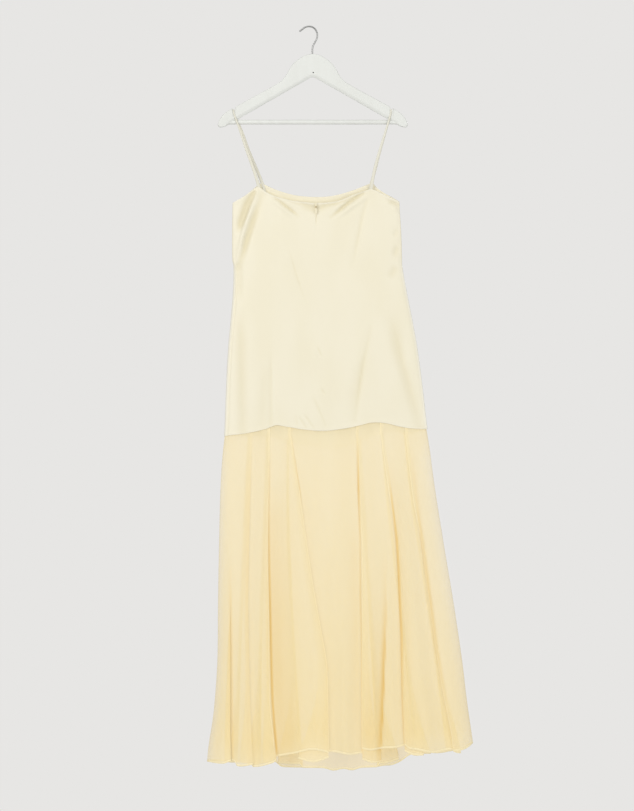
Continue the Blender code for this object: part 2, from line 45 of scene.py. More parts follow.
seamGap = 0.3  # between back and front where they meet


def smoothCurve(points):
    # a smooth line through (place, height) points, level beyond its ends
    places = [float(p[0]) for p in points]
    heights = [float(p[1]) for p in points]
    last = len(points) - 1
    slopes = []
    for i in range(last + 1):
        low, high = max(i - 1, 0), min(i + 1, last)
        slopes.append((heights[high] - heights[low]) / (places[high] - places[low]))

    def at(place):
        if place <= places[0]:
            return heights[0]
        if place >= places[last]:
            return heights[last]
        i = bisect_right(places, place) - 1
        span = places[i + 1] - places[i]
        t = (place - places[i]) / span
        start = (2 * t**3 - 3 * t**2 + 1) * heights[i] + (t**3 - 2 * t**2 + t) * span * slopes[i]
        end = (3 * t**2 - 2 * t**3) * heights[i + 1] + (t**3 - t**2) * span * slopes[i + 1]
        return start + end

    return at


# The garment laid flat: drop, left side, right side, half depth between back and front
outline = (
    (356, -176, 208, 9),
    (404, -177, 207, 11),
    (473, -178, 211, 14),
    (536, -177.5, 213, 16),
    (548, -175, 213.5, 16),
    (604, -176, 223, 17),
    (669, -181, 236, 17),
    (735, -187, 248, 17),
    (825, -192, 260, 17),
    (930, -196, 272, 18),
    (1041, -204, 286, 23),
    (1179, -208, 307.5, 28),
    (1317, -210.5, 330.5, 32),
    (1455, -212, 351, 35),
    (1547, -218, 362, 38),
    (1593, -223, 368.5, 39),
    (1650, -232, 376.5, 41),
    (1690, -236, 379, 42),
)
leftAt, rightAt, depthAt = (smoothCurve([(row[0], row[column]) for row in outline]) for column in (1, 2, 3))

# The front's neckline leans in towards the back, where the straps pull it flat
neckLean = {"start": 360, "length": 130, "least": 0.3}


def formDepth(x, drop, inset=0.0):
    # how far the cloth stands out from the plane between back and front
    left, right = leftAt(drop) + inset, rightAt(drop) - inset
    across = min(1.0, abs(2 * (x - left) / (right - left) - 1))
    return seamGap / 2 + (depthAt(drop) - inset) * math.sqrt(1 - across**3)


def hangDepth(x, drop, facing):
    # the form's depth, with the lean of the front's neckline
    least = neckLean["least"]
    t = min(1.0, max(0.0, (drop - neckLean["start"]) / neckLean["length"])) if facing > 0 else 1.0
    return formDepth(x, drop) * (least + (1 - least) * t * t * (3 - 2 * t))


def crease(half, height, *route, ends=(0, 0), shade=1):
    # a soft ridge, or a trough below 0, along given (x, drop) points; "ends" is the share of the
    # height that is left at the route's start and at its end
    # "shade" is how strongly its trough is darkened in the colour, as painted shade
    return route, half, height, ends, shade


def creaseField(xs, drops, creases, shading=False):
    # the height of all creases, or how dark their troughs are painted as shade, at every point
    total = np.zeros(len(xs))
    for route, half, height, ends, shade in creases:
        lengths = [math.dist(a, b) for a, b in zip(route, route[1:])]
        gone = 0.0
        nearest, place = np.full(len(xs), 1e9), np.zeros(len(xs))
        for (x0, drop0), (x1, drop1), length in zip(route, route[1:], lengths):
            t = ((xs - x0) * (x1 - x0) + (drops - drop0) * (drop1 - drop0)) / length**2
            t = np.clip(t, 0, 1)
            away = np.hypot(xs - x0 - t * (x1 - x0), drops - drop0 - t * (drop1 - drop0))
            place = np.where(away < nearest, (gone + t * length) / sum(lengths), place)
            nearest = np.minimum(nearest, away)
            gone += length
        height = -height * shade if shading else height
        for end, t in zip(ends, (place, 1 - place)):
            t = np.clip(t / 0.4, 0, 1)
            height = height * (end + (1 - end) * t * t * (3 - 2 * t))
        total += height * np.exp(-((nearest / half) ** 2))
    return total


def band(left, right, *route):
    # a band of painted shade down the skirt: its half widths, then drop, x and strength along it
    return left, right, *zip(*route)


def bandField(xs, drops, bands):
    # how strong the bands' painted shade is at every point
    total = np.zeros(len(xs))
    for left, right, bandDrops, bandXs, strengths in bands:
        aside = xs - np.interp(drops, bandDrops, bandXs)
        width = np.where(aside < 0, left, right)
        total = np.maximum(total, np.interp(drops, bandDrops, strengths) * np.exp(-((aside / width) ** 2)))
    return total


def newObject(name, mesh):
    obj = bpy.data.objects.new(name, mesh)
    bpy.context.scene.collection.objects.link(obj)
    return obj


def gridMesh(name, rows, material, fields=None):
    # a sheet through rows of points in millimetres; fields are named numbers at the points
    flat = [point for row in rows for point in row]
    columns = len(rows[0])
    faces = []
    for r in range(len(rows) - 1):
        for c in range(columns - 1):
            a = r * columns + c
            faces.append((a, a + 1, a + columns + 1, a + columns))
    mesh = bpy.data.meshes.new(name)
    mesh.from_pydata([(x * mm, y * mm, z * mm) for x, y, z in flat], [], faces)
    for field, values in (fields or {}).items():
        attribute = mesh.attributes.new(field, "FLOAT", "POINT")
        attribute.data.foreach_set("value", np.asarray(values, np.float32))
    mesh.materials.append(material)
    mesh.shade_smooth()
    return newObject(name, mesh)


def joinRings(bm, rings):
    for ring, following in zip(rings, rings[1:]):
        for i in range(len(ring)):
            j = (i + 1) % len(ring)
            bm.faces.new((ring[i], ring[j], following[j], following[i]))


def solidFrom(bm, name, material):
    bmesh.ops.recalc_face_normals(bm, faces=bm.faces)
    mesh = bpy.data.meshes.new(name)
    bm.to_mesh(mesh)
    bm.free()
    mesh.materials.append(material)
    mesh.shade_smooth()
    return newObject(name, mesh)


def skinMesh(name, rings, material):
    # a skin over rings of points in millimetres, with a cap at both ends
    bm = bmesh.new()
    made = [[bm.verts.new(point * mm) for point in ring] for ring in rings]
    joinRings(bm, made)
    bm.faces.new(made[0][::-1])
    bm.faces.new(made[-1])
    return solidFrom(bm, name, material)


def tubeMesh(name, path, sections, material):
    # a skin over cross-sections (lists of offsets along two side directions) set along a path
    rings = []
    for i, point in enumerate(path):
        ahead = (path[min(i + 1, len(path) - 1)] - path[max(i - 1, 0)]).normalized()
        wide = Vector((1, 0, 0))
        wide = (wide - ahead * wide.dot(ahead)).normalized()
        thick = ahead.cross(wide).normalized()
        rings.append([point + wide * a + thick * b for a, b in sections[i]])
    return skinMesh(name, rings, material)


# Materials
def addNode(tree, kind, inputs=None, **settings):
    node = tree.nodes.new(kind)
    for key, value in settings.items():
        setattr(node, key, value)
    for socket, value in (inputs or {}).items():
        if isinstance(value, bpy.types.NodeSocket):
            tree.links.new(value, node.inputs[socket])
        else:
            node.inputs[socket].default_value = value
    return node


def addMath(tree, operation, *values, clamp=False):
    return addNode(tree, "ShaderNodeMath", dict(enumerate(values)), operation=operation,
                   use_clamp=clamp).outputs[0]


def addGroup(tree, group, **inputs):
    return addNode(tree, "ShaderNodeGroup", inputs, node_tree=group).outputs


def addNoise(tree, where, scale, detail):
    return addNode(tree, "ShaderNodeTexNoise", {"Vector": where, "Scale": scale,
                                                "Detail": detail}).outputs["Fac"]


def mapTo(tree, value, low, high):
    return addNode(tree, "ShaderNodeMapRange", {"Value": value, "To Min": low,
                                                "To Max": high}).outputs["Result"]


def fieldOf(tree, name):
    # a named number that the mesh holds at its points
    return addNode(tree, "ShaderNodeAttribute", attribute_name=name).outputs["Fac"]


def mixColours(tree, factor, a, b):
    return addNode(tree, "ShaderNodeMix", {0: factor, 6: a, 7: b}, data_type="RGBA").outputs[2]


def bumpNormal(tree, height, strength, distance):
    return addNode(tree, "ShaderNodeBump", {"Height": height, "Strength": strength,
                                            "Distance": distance}).outputs["Normal"]


def newGroup(name, vectors, numbers, outputs):
    # vectors: names of inputs; numbers: inputs with the value that each starts from
    tree = bpy.data.node_groups.new(name, "ShaderNodeTree")
    for socket in vectors:
        tree.interface.new_socket(socket, in_out="INPUT", socket_type="NodeSocketVector")
    for socket, value in numbers.items():
        made = tree.interface.new_socket(socket, in_out="INPUT", socket_type="NodeSocketFloat")
        made.default_value = value
    for socket in outputs:
        tree.interface.new_socket(socket, in_out="OUTPUT", socket_type="NodeSocketFloat")
    return tree, tree.nodes.new("NodeGroupInput").outputs, tree.nodes.new("NodeGroupOutput").inputs


def weaveGroup():
    # crossed threads: Height for bump and Tone, a slight thread-to-thread difference in colour
    tree, given, out = newGroup("weave", ["Vector"], {"Threads": 900.0, "Turn": 0.0, "Slub": 0.3},
                                ["Height", "Tone"])
    turned = addNode(tree, "ShaderNodeVectorRotate", {"Vector": given["Vector"], "Angle": given["Turn"]},
                     rotation_type="Y_AXIS")
    scaled = addNode(tree, "ShaderNodeVectorMath", {0: turned.outputs[0], "Scale": given["Threads"]},
                     operation="SCALE")
    threads = [addNode(tree, "ShaderNodeTexWave", {"Vector": scaled.outputs[0], "Scale": 0.5,
                                                   "Distortion": 0.6, "Detail": 1.0},
                       bands_direction=way).outputs["Fac"] for way in ("X", "Z")]
    crossed = addMath(tree, "MULTIPLY", *threads)
    slub = addNoise(tree, given["Vector"], 260.0, 3.0)
    mixed = addNode(tree, "ShaderNodeMix", {"Factor": given["Slub"], "A": crossed, "B": slub})
    tree.links.new(mixed.outputs["Result"], out["Height"])
    tree.links.new(slub, out["Tone"])
    return tree


def driftGroup():
    # slow, soft changes of tone, longer down the cloth than across it
    tree, given, out = newGroup("drift", ["Vector"], {"Size": 12.0, "Stretch": 0.25}, ["Tone"])
    stretch = addNode(tree, "ShaderNodeCombineXYZ", {"X": 1.0, "Y": 1.0, "Z": given["Stretch"]})
    long = addNode(tree, "ShaderNodeVectorMath", {0: given["Vector"], 1: stretch.outputs[0]},
                   operation="MULTIPLY")
    noise = addNode(tree, "ShaderNodeTexNoise", {"Vector": long.outputs[0], "Scale": given["Size"],
                                                 "Detail": 2.0, "Roughness": 0.45})
    eased = addNode(tree, "ShaderNodeMapRange", {"Value": noise.outputs["Fac"], "From Min": 0.3,
                                                 "From Max": 0.7}, interpolation_type="SMOOTHSTEP")
    tree.links.new(eased.outputs["Result"], out["Tone"])
    return tree


def spotGroup():
    # Mask: Strength within a small round place on the surface, seen along y
    tree, given, out = newGroup("spot", ["Vector", "Place"], {"Radius": 0.002, "Strength": 1.0}, ["Mask"])
    flat = addNode(tree, "ShaderNodeVectorMath", {0: given["Vector"], 1: (1, 0, 1)}, operation="MULTIPLY")
    away = addNode(tree, "ShaderNodeVectorMath", {0: flat.outputs[0], 1: given["Place"]},
                   operation="DISTANCE")
    full = addMath(tree, "MULTIPLY", given["Radius"], 0.6)
    within = addNode(tree, "ShaderNodeMapRange", {"Value": away.outputs["Value"], "From Min": full,
                                                  "From Max": given["Radius"], "To Min": 1.0,
                                                  "To Max": 0.0})
    tree.links.new(addMath(tree, "MULTIPLY", within.outputs["Result"], given["Strength"]), out["Mask"])
    return tree


weave = weaveGroup()
drift = driftGroup()
spot = spotGroup()


def newMaterial(name, finish):
    material = bpy.data.materials.new(name)
    material.use_nodes = True
    tree = material.node_tree
    shader = tree.nodes["Principled BSDF"]
    for socket, value in finish.items():
        shader.inputs[socket].default_value = value
    where = addNode(tree, "ShaderNodeTexCoord").outputs["Object"]
    return material, tree, shader, where


def paintedShadeSpots(tree, where, colour, look):
    # painted shade: dark round spots mixed into the colour
    for x, drop, radius, strength in look.get("shadeSpots", ()):
        mask = addGroup(tree, spot, Vector=where, Place=(x * mm, 0, -drop * mm), Radius=radius * mm,
                        Strength=strength)["Mask"]
        colour = mixColours(tree, mask, colour, look["spotShadeColour"])
    return colour


satinLook = {
    "light": (0.905, 0.850, 0.675, 1),
    "deep": (0.890, 0.832, 0.645, 1),
    # the colour of painted shade in crease troughs
    "fold": (0.780, 0.700, 0.470, 1),
    # the colour of painted highlights along side seams and turned edges
    "paintedHighlight": (0.945, 0.915, 0.800, 1),
    "weave": {"Threads": 1500.0, "Turn": math.radians(45), "Slub": 0.35},
    "drift": {"Size": 14.0, "Stretch": 0.4},
    "rough": (0.34, 0.46),
    "bump": (0.1, 0.0002),  # strength and distance
    "passes": 0.36,  # share of the light that goes on through the threads
    "finish": {"IOR": 1.45, "Sheen Weight": 0.3, "Sheen Roughness": 0.3, "Specular IOR Level": 0.35},
}
strapPaintedShadeLook = {  # the same cloth with painted shade, darker and greyer, for narrow tubes that catch less light
    **satinLook,
    "light": (0.815, 0.795, 0.690, 1),
    "deep": (0.800, 0.775, 0.660, 1),
    "fold": (0.680, 0.640, 0.500, 1),
}
chiffonLook = {
    "light": (0.960, 0.840, 0.560, 1),
    "low": (0.945, 0.780, 0.425, 1),
    # the colour of painted shade in the chiffon's laps and seam lines, warm as light passed through several
    # layers
    "fold": (0.815, 0.530, 0.155, 1),
    "double": (0.968, 0.864, 0.570, 1),
    "weave": {"Threads": 1100.0, "Turn": 0.0, "Slub": 0.6},
    "drift": {"Size": 16.0, "Stretch": 0.12},
    "driftDeepens": 0.25,
    "bump": (0.12, 0.0002),
    "alpha": (0.62, 0.94),  # single and double
    "passes": 0.68,
    "finish": {"Roughness": 0.85, "IOR": 1.4, "Sheen Weight": 0.1, "Specular IOR Level": 0.15},
}
paintLook = {
    "light": (0.800, 0.812, 0.770, 1),
    "worn": (0.740, 0.745, 0.700, 1),
    "spotShadeColour": (0.02, 0.02, 0.02, 1),
    "shadeSpots": ((8.7, 104.5, 1.9, 1.0),),  # painted shade of a small hole where the bevels meet, as a dark spot: x, drop, radius and strength
    "wear": 0.35,
    "drift": {"Size": 60.0, "Stretch": 0.2},
    "brush": (900.0, 4.0),  # scale and detail of the brush marks
    "rough": (0.34, 0.5),
    "bump": (0.12, 0.0003),
    "finish": {"IOR": 1.5, "Coat Weight": 0.2, "Coat Roughness": 0.25},
}
metalLook = {
    "fine": (1400.0, 3.0),  # scale and detail of its fine unevenness
    "dull": (0.8, 0.2),  # brightness of the duller places, and how far they show
}
chromeLook = {
    **metalLook,
    "light": (0.445, 0.445, 0.435, 1),
    "rough": (0.34, 0.44),
    "finish": {"Metallic": 1.0},
}
zipLook = {
    **metalLook,
    "light": (0.90, 0.83, 0.62, 1),
    "spotShadeColour": (0.58, 0.45, 0.22, 1),
    "rough": (0.25, 0.4),
    "shadeSpots": ((14.9, 413.8, 2.4, 0.9), (15.8, 431.0, 2.2, 0.9)),  # painted shade on the slider's lower part and at the pull tab's end
    "finish": {"IOR": 1.5, "Coat Weight": 0.3, "Coat Roughness": 0.15},
}


def heldLight(tree, passes):
    # 1 for the eye, less for light on its way through the cloth
    ray = addNode(tree, "ShaderNodeLightPath").outputs
    lit = addMath(tree, "MAXIMUM", ray["Is Shadow Ray"], ray["Is Diffuse Ray"])
    return addMath(tree, "MULTIPLY_ADD", lit, -passes, 1.0)


def makeSatin(name, look):
    material, tree, shader, where = newMaterial(name, look["finish"])
    threads = addGroup(tree, weave, Vector=where, **look["weave"])
    slow = addGroup(tree, drift, Vector=where, **look["drift"])
    colour = mixColours(tree, slow["Tone"], look["light"], look["deep"])
    for field, shade in (("paintedShade", "fold"), ("paintedHighlight", "paintedHighlight")):
        colour = mixColours(tree, fieldOf(tree, field), colour, look[shade])
    tree.links.new(colour, shader.inputs["Base Color"])
    tree.links.new(mapTo(tree, threads["Tone"], *look["rough"]), shader.inputs["Roughness"])
    tree.links.new(bumpNormal(tree, threads["Height"], *look["bump"]), shader.inputs["Normal"])
    tree.links.new(heldLight(tree, look["passes"]), shader.inputs["Alpha"])
    return material


def makeChiffon(look):
    # "dense" above 0 is cloth that lies double, or the top edge of a seam made denser as a painted
    # highlight; below 0 an edge that fades away
    material, tree, shader, where = newMaterial("chiffon", look["finish"])
    threads = addGroup(tree, weave, Vector=where, **look["weave"])
    slow = addGroup(tree, drift, Vector=where, **look["drift"])
    paintedShade, low, dense = (fieldOf(tree, field) for field in ("paintedShade", "low", "dense"))
    deeper = addMath(tree, "MULTIPLY_ADD", slow["Tone"], look["driftDeepens"], low, clamp=True)
    colour = mixColours(tree, deeper, look["light"], look["low"])
    colour = mixColours(tree, paintedShade, colour, look["fold"])
    colour = mixColours(tree, dense, colour, look["double"])
    tree.links.new(colour, shader.inputs["Base Color"])
    body = addMath(tree, "MAXIMUM", dense, paintedShade, clamp=True)
    alpha = mapTo(tree, body, *look["alpha"])
    faded = addMath(tree, "MULTIPLY_ADD", addMath(tree, "MINIMUM", dense, 0.0), alpha, alpha)
    sheer = addMath(tree, "MULTIPLY", faded, heldLight(tree, look["passes"]))
    tree.links.new(sheer, shader.inputs["Alpha"])
    tree.links.new(bumpNormal(tree, threads["Height"], *look["bump"]), shader.inputs["Normal"])
    return material


def makePaint(look):
    material, tree, shader, where = newMaterial("painted_wood", look["finish"])
    grain = addGroup(tree, drift, Vector=where, **look["drift"])
    brush = addNoise(tree, where, *look["brush"])
    wear = addMath(tree, "MULTIPLY", grain["Tone"], look["wear"])
    colour = paintedShadeSpots(tree, where, mixColours(tree, wear, look["light"], look["worn"]), look)
    tree.links.new(colour, shader.inputs["Base Color"])
    tree.links.new(mapTo(tree, brush, *look["rough"]), shader.inputs["Roughness"])
    tree.links.new(bumpNormal(tree, brush, *look["bump"]), shader.inputs["Normal"])
    return material


def makeMetal(name, look):
    material, tree, shader, where = newMaterial(name, look["finish"])
    fine = addNoise(tree, where, *look["fine"])
    darker, share = look["dull"]
    dull = tuple(darker * c for c in look["light"][:3]) + (1,)
    colour = mixColours(tree, addMath(tree, "MULTIPLY", fine, share), look["light"], dull)
    tree.links.new(paintedShadeSpots(tree, where, colour, look), shader.inputs["Base Color"])
    tree.links.new(mapTo(tree, fine, *look["rough"]), shader.inputs["Roughness"])
    return material


satin = makeSatin("satin", satinLook)
strapPaintedShadeSatin = makeSatin("satin_strap", strapPaintedShadeLook)
chiffon = makeChiffon(chiffonLook)
paint = makePaint(paintLook)
chrome = makeMetal("chrome", chromeLook)
zipMetal = makeMetal("zip_metal", zipLook)
print("materials ready")


# Satin body: one sheet from side to side in front, and two that meet at the zip behind
topBack = {
    "left": smoothCurve(((-177, 404), (-151, 389), (-122, 369), (-115, 368))),
    "neck": smoothCurve(((-115, 368), (-97, 381), (-76, 390), (-41, 399), (-12, 402.5), (15, 405),
                         (65, 400), (100, 386), (141, 372))),
    "right": smoothCurve(((141, 372), (152, 376), (166, 383), (190, 394), (208, 402))),
    "ends": (-115, 141),
}
topFront = {
    "left": smoothCurve(((-177, 404), (-151, 389), (-122, 366), (-111, 358))),
    "neck": smoothCurve(((-111, 358), (-76, 374), (-34, 386), (9, 390), (51, 388), (97, 376), (145, 357))),
    "right": smoothCurve(((145, 357), (156, 370), (175, 383), (190, 391), (208, 402))),
    "ends": (-111, 145),
}
waistBack = smoothCurve((
    (-196, 940), (-142, 933), (-99, 923), (-77, 915), (-61, 917), (-12, 925), (33, 928),
    (85, 922), (117, 915), (143, 909), (175, 910.5), (207, 918), (230, 922), (272, 924),
))
waistFront = smoothCurve((
    (-196, 940), (-84, 942), (-54, 951), (-6, 960), (52, 968), (104, 957), (136, 943),
    (165, 935), (197, 930), (227, 935), (272, 924),
))
centreBack = smoothCurve(((404, 15), (600, 16), (742, 19), (836, 28), (930, 36)))

backCreases = (
    # from the left armhole
    crease(8.5, -5.4, (-128, 382), (-143, 408), (-156, 448), (-164, 480), ends=(0.7, 0), shade=1.8),
    crease(4.4, 3.6, (-120, 378), (-129, 405), (-146, 448), (-157, 489), (-167, 540), ends=(0.8, 0.3)),
    crease(7.4, -4.6, (-109, 388), (-116, 407), (-131, 448), (-144, 489), (-154, 526), (-163, 554),
           ends=(0.3, 0.3), shade=1.35),
    crease(9, -2.2, (-163, 530), (-161, 580), (-164, 650), ends=(0.3, 0), shade=0.7),
    # from the right strap to the zip
    crease(3.2, -5.6, (124, 381), (88, 405), (49, 437), ends=(0.6, 0.2), shade=1.8),
    crease(4.0, 3.4, (134, 389), (97, 413), (62, 440), ends=(0.5, 0.3)),
    crease(4.6, -3.2, (112, 384), (61, 404), (31, 411), ends=(0.6, 0.4), shade=1.6),
    # from the left strap to the zip, and under the neckline
    crease(3.0, -4.2, (-79, 393), (-49, 416), (-18, 440), ends=(0.6, 0), shade=1.3),
    crease(4.6, 2.6, (-88, 396), (-58, 420), (-30, 441), ends=(0.5, 0)),
    crease(3.4, -2.6, (-68, 391), (-34, 402), (6, 411), ends=(0.6, 0.4), shade=1.1),
    crease(3.4, 1.3, (-58, 400), (-30, 412), (-6, 420)),
    crease(8, -2.2, (-30, 410), (14, 417), (56, 409), ends=(0.3, 0.3), shade=1.5),
    # below the slider, and long soft ones down the back
    crease(1.3, -0.8, (15.2, 431), (15.5, 455), ends=(1, 0.4), shade=4.0),
    crease(2.8, -1.4, (-47, 512), (-31, 568), (-13, 622), ends=(0.2, 0.3), shade=1.3),
    crease(5, -2.0, (133, 392), (122, 430), (98, 550), ends=(0.6, 0.2)),
    # at the right armhole and the side seam below it
    crease(4, -3.0, (178, 398), (206, 410), ends=(0.3, 0.8)),
    crease(5, 1.8, (186, 414), (206, 424), ends=(0, 0.7)),
    crease(6, -1.9, (200, 462), (196, 484), ends=(0.4, 0.2), shade=0.7),
    crease(7.5, -2.5, (202, 500), (194, 530), ends=(0.3, 0.2), shade=0.8),
    crease(9, -2.2, (200, 545), (182, 580)),
    # above the waist, right half
    crease(15, -5.4, (178, 640), (202, 731), (232, 830), (256, 920), ends=(0, 0.6), shade=0.65),
    crease(11, 2.2, (206, 700), (232, 800), (262, 910), ends=(0, 0.5)),
    crease(5.5, -2.2, (141, 690), (121, 780), (104, 905), ends=(0.3, 0.5)),
    crease(14, -1.6, (132, 740), (112, 820), (96, 900), ends=(0, 0.3)),
    # above the waist, left half
    crease(3.8, -1.9, (-89, 730), (-89, 830), (-88, 915), ends=(0, 1)),
    crease(12, -1.1, (-104, 760), (-106, 915), ends=(0, 0.8)),
    crease(12, -2.7, (-163, 620), (-156, 740), (-155, 850), (-152, 930), ends=(0, 0.8)),
    crease(3.4, -1.3, (3, 839), (20, 876), (37, 917), ends=(0, 0.6), shade=1.1),
    crease(2.6, -1.6, (-14, 888), (10, 920), ends=(0, 0.8), shade=1.2),
    crease(2.4, 1.2, (-20, 893), (2, 921), ends=(0, 0.8)),
    crease(2.4, -1.6, (-26, 892), (-8, 920), ends=(0, 0.8), shade=1.3),
    crease(2.6, -1.3, (-34, 888), (-28, 914), ends=(0, 0.8)),
    # at the lower end of the zip
    crease(2.4, -1.2, (18, 736), (28, 756), ends=(0.4, 0.4), shade=1.4),
    crease(2.6, 1.0, (8, 742), (22, 758), ends=(0.4, 0.4)),
    crease(2.4, -1.4, (27, 832), (35, 842), ends=(0.4, 0.4), shade=1.4),
)
frontCreases = (
    # down from both straps, beside the armholes
    crease(7, -2.8, (-112, 374), (-132, 424), (-154, 486), ends=(0.5, 0)),
    crease(5, 2.4, (-106, 372), (-122, 432), (-142, 512), ends=(0.8, 0)),
    crease(7, -2.8, (150, 374), (168, 424), (190, 484), ends=(0.5, 0)),
    crease(5, 2.4, (144, 372), (158, 430), (180, 512), ends=(0.8, 0)),
    # from the straps to the middle of the neckline
    crease(4, -2.2, (-88, 384), (-48, 408), (-8, 424), ends=(0.4, 0)),
    crease(4, -2.4, (122, 380), (84, 404), (44, 420), ends=(0.4, 0)),
    crease(8, -1.5, (-34, 404), (16, 412), (66, 403)),
    # long ones, down to the waist
    crease(15, -2.4, (188, 540), (168, 640), (152, 740), shade=0.5),
    crease(15, -2.4, (-150, 540), (-134, 650), (-124, 750), shade=0.5),
    crease(14, -3.8, (-146, 690), (-164, 800), (-172, 930), ends=(0, 0.5), shade=0.5),
    crease(5, -2.6, (-96, 730), (-90, 840), (-86, 930), ends=(0, 0.7), shade=0.7),
    crease(5.5, -2.8, (152, 680), (142, 800), (136, 930), ends=(0, 0.6), shade=0.7),
    crease(12, -3.4, (208, 700), (224, 820), (240, 915), ends=(0, 0.5), shade=0.5),
    crease(10, 1.8, (30, 780), (44, 955), ends=(0, 0.5)),
    # painted shadow line where the front goes down behind the back's upper edge
    crease(2.6, -0.3, (-108, 371), (-97, 378.5), (-76, 387.5), (-41, 396.5), (-12, 400), (15, 402.5),
           (65, 397.5), (100, 383.5), (137, 372), ends=(1, 1), shade=7.0),
)

satinEdge = {
    "rows": (0.8, 1.7, 2.6, 3.6, 5.0, 7.5, 11.0),  # how far from the edge its nearest rows lie
    # the part turned inside, as drop and depth from the edge
    "top": ((7.0, -0.25), (6.3, -0.45), (4.8, -0.65), (3.2, -0.75), (1.6, -0.75), (0.3, -0.6),
            (-0.2, -0.35), (0.2, -0.08)),
    "low": ((-0.2, -0.1), (0.2, -0.5), (-0.3, -0.9), (-1.6, -1.0), (-3.2, -1.0), (-4.8, -0.9),
            (-6.3, -0.6), (-7.0, -0.4)),
    "deepest": 0.45,  # it goes in no further than this share of the panel's own depth
    "thicker": 0.45,  # how far the doubled cloth stands out
    "width": 5.2,
    "ends": 0.7,  # how softly the doubled cloth ends
}
satinCloth = {
    "rows": 150,
    "meets": 5,  # creases fade where back and front are closer than this
    "sewn": (4, 22, 0.35),  # and by the waist seam: how far, over what length, to what share
    "shade": (6.5, 0.8),  # depth of a trough in full painted shade, and the most painted shade
    "bright": (1.5, 3.0, 0.25),  # painted shade fades at a turned edge: how far, over what length, to what share
    "paintedHighlightSide": (4.0, 530, 40),  # painted highlight along the side seams: half width, from which drop, over what length
    "paintedHighlightTop": (0.4, 3.5),  # painted highlight along turned edges too: strength and width
    "paintedHighlightLow": (0.45, 3.0),
}


def spread(count, start=1.7, end=1.7):
    # places from 0 to 1, closer together towards both ends
    ts = [i / count for i in range(count + 1)]
    return [t**start / (t**start + (1 - t) ** end) for t in ts]


def edgeRoll(away):
    # the turned edge is thicker for its first few millimetres
    return satinEdge["thicker"] / (1 + math.exp(min(30, (away - satinEdge["width"]) / satinEdge["ends"])))


def topAt(x, top):
    low, high = top["ends"]
    return top["left" if x < low else "right" if x > high else "neck"](x)


def satinColumn(share, startAt, endAt, top, waist):
    # the drops of a column's two ends, where it meets both edges, and of all its points
    ends = []
    for edge in (lambda x: topAt(x, top), waist):
        drop = 500.0
        for _ in range(5):
            drop = edge(startAt(drop) + (endAt(drop) - startAt(drop)) * share)
        ends.append(drop)
    high, low = ends
    *near, inner = satinEdge["rows"]
    rows = satinCloth["rows"]
    drops = [high + e for e in near]
    drops += [high + inner + (low - high - 2 * inner) * r / rows for r in range(rows + 1)]
    drops += [low - e for e in reversed(near)]
    return high, low, drops


def satinShades(sheet, xs, drops, highs, lows, sides, creases):
    # painted shade in the troughs, and painted highlights where seams and turned edges catch the light
    full, most = satinCloth["shade"]
    paintedShade = np.clip(creaseField(xs, drops, creases, shading=True) / full, 0, most)
    start, length, least = satinCloth["bright"]
    paintedShade = paintedShade * np.clip((drops - highs - start) / length, least, 1)
    # painted highlight along the side seams and along the turned upper and lower edges
    paintedHighlight = np.zeros(len(xs))
    if "paintedHighlight" in sheet:
        end, strength = sheet["paintedHighlight"]
        half, start, length = satinCloth["paintedHighlightSide"]
        side = np.array([sides[end](d) for d in drops])
        paintedHighlight = strength * np.exp(-(((xs - side) / half) ** 2)) * np.clip((drops - start) / length, 0, 1)
        for key, away in (("paintedHighlightTop", drops - highs), ("paintedHighlightLow", lows - drops)):
            strength, width = satinCloth[key]
            paintedHighlight = np.maximum(paintedHighlight, strength * np.clip(1 - away / width, 0, 1))
    return paintedShade, paintedHighlight


def satinPanel(sheet, facing, startAt, endAt, top, waist, creases):
    # one panel between two lines that run down it, with its upper and lower edges turned in
    shares = spread(sheet["columns"])
    width = len(shares)
    columns = [satinColumn(share, startAt, endAt, top, waist) for share in shares]
    count = len(columns[0][2])
    xs, drops, depths = [], [], []
    for r in range(count):
        for share, (high, low, along) in zip(shares, columns):
            drop = along[r]
            x = startAt(drop) + (endAt(drop) - startAt(drop)) * share
            rolled = edgeRoll(drop - along[0]) + edgeRoll(along[-1] - drop)
            xs.append(x)
            drops.append(drop)
            depths.append(hangDepth(x, drop, facing) + rolled)
    xs, drops, depths = np.array(xs), np.array(drops), np.array(depths)
    highs, lows = (np.tile([column[end] for column in columns], count) for end in (0, 1))
    start, length, least = satinCloth["sewn"]
    held = np.minimum(1, depths / satinCloth["meets"])
    held = held * (least + (1 - least) * np.clip((lows - drops - start) / length, 0, 1))
    depths = depths + creaseField(xs, drops, creases) * held
    for line, depth, half in sheet["grooves"]:
        middle = np.array([line(d) for d in drops])
        deep = np.array([depth(d) for d in drops]) if callable(depth) else depth
        depths = depths + deep * np.exp(-(((xs - middle) / half) ** 2))
    rows = [[(xs[i], facing * depths[i], -drops[i]) for i in range(r * width, (r + 1) * width)]
            for r in range(count)]

    def turned(row, edge, offsets):
        made = []
        for dropBy, depthBy in offsets:
            line = []
            for c, ((x, y, z), column) in enumerate(zip(row, columns)):
                drop = column[edge] + dropBy
                out = np.interp(drop, column[2], depths[c::width])
                line.append((x, facing * (out + max(-satinEdge["deepest"] * out, depthBy)), -drop))
            made.append(line)
        return made

    above, below = turned(rows[0], 0, satinEdge["top"]), turned(rows[-1], 1, satinEdge["low"])
    fields = {}
    shades = satinShades(sheet, xs, drops, highs, lows, (startAt, endAt), creases)
    for name, values in zip(("paintedShade", "paintedHighlight"), shades):
        fields[name] = np.concatenate([np.tile(values[:width], len(above)), values,
                                       np.tile(values[-width:], len(below))])
    obj = gridMesh(sheet["name"], above + rows + below, satin, fields)
    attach(obj, "dress")
    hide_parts(sheet["node"])


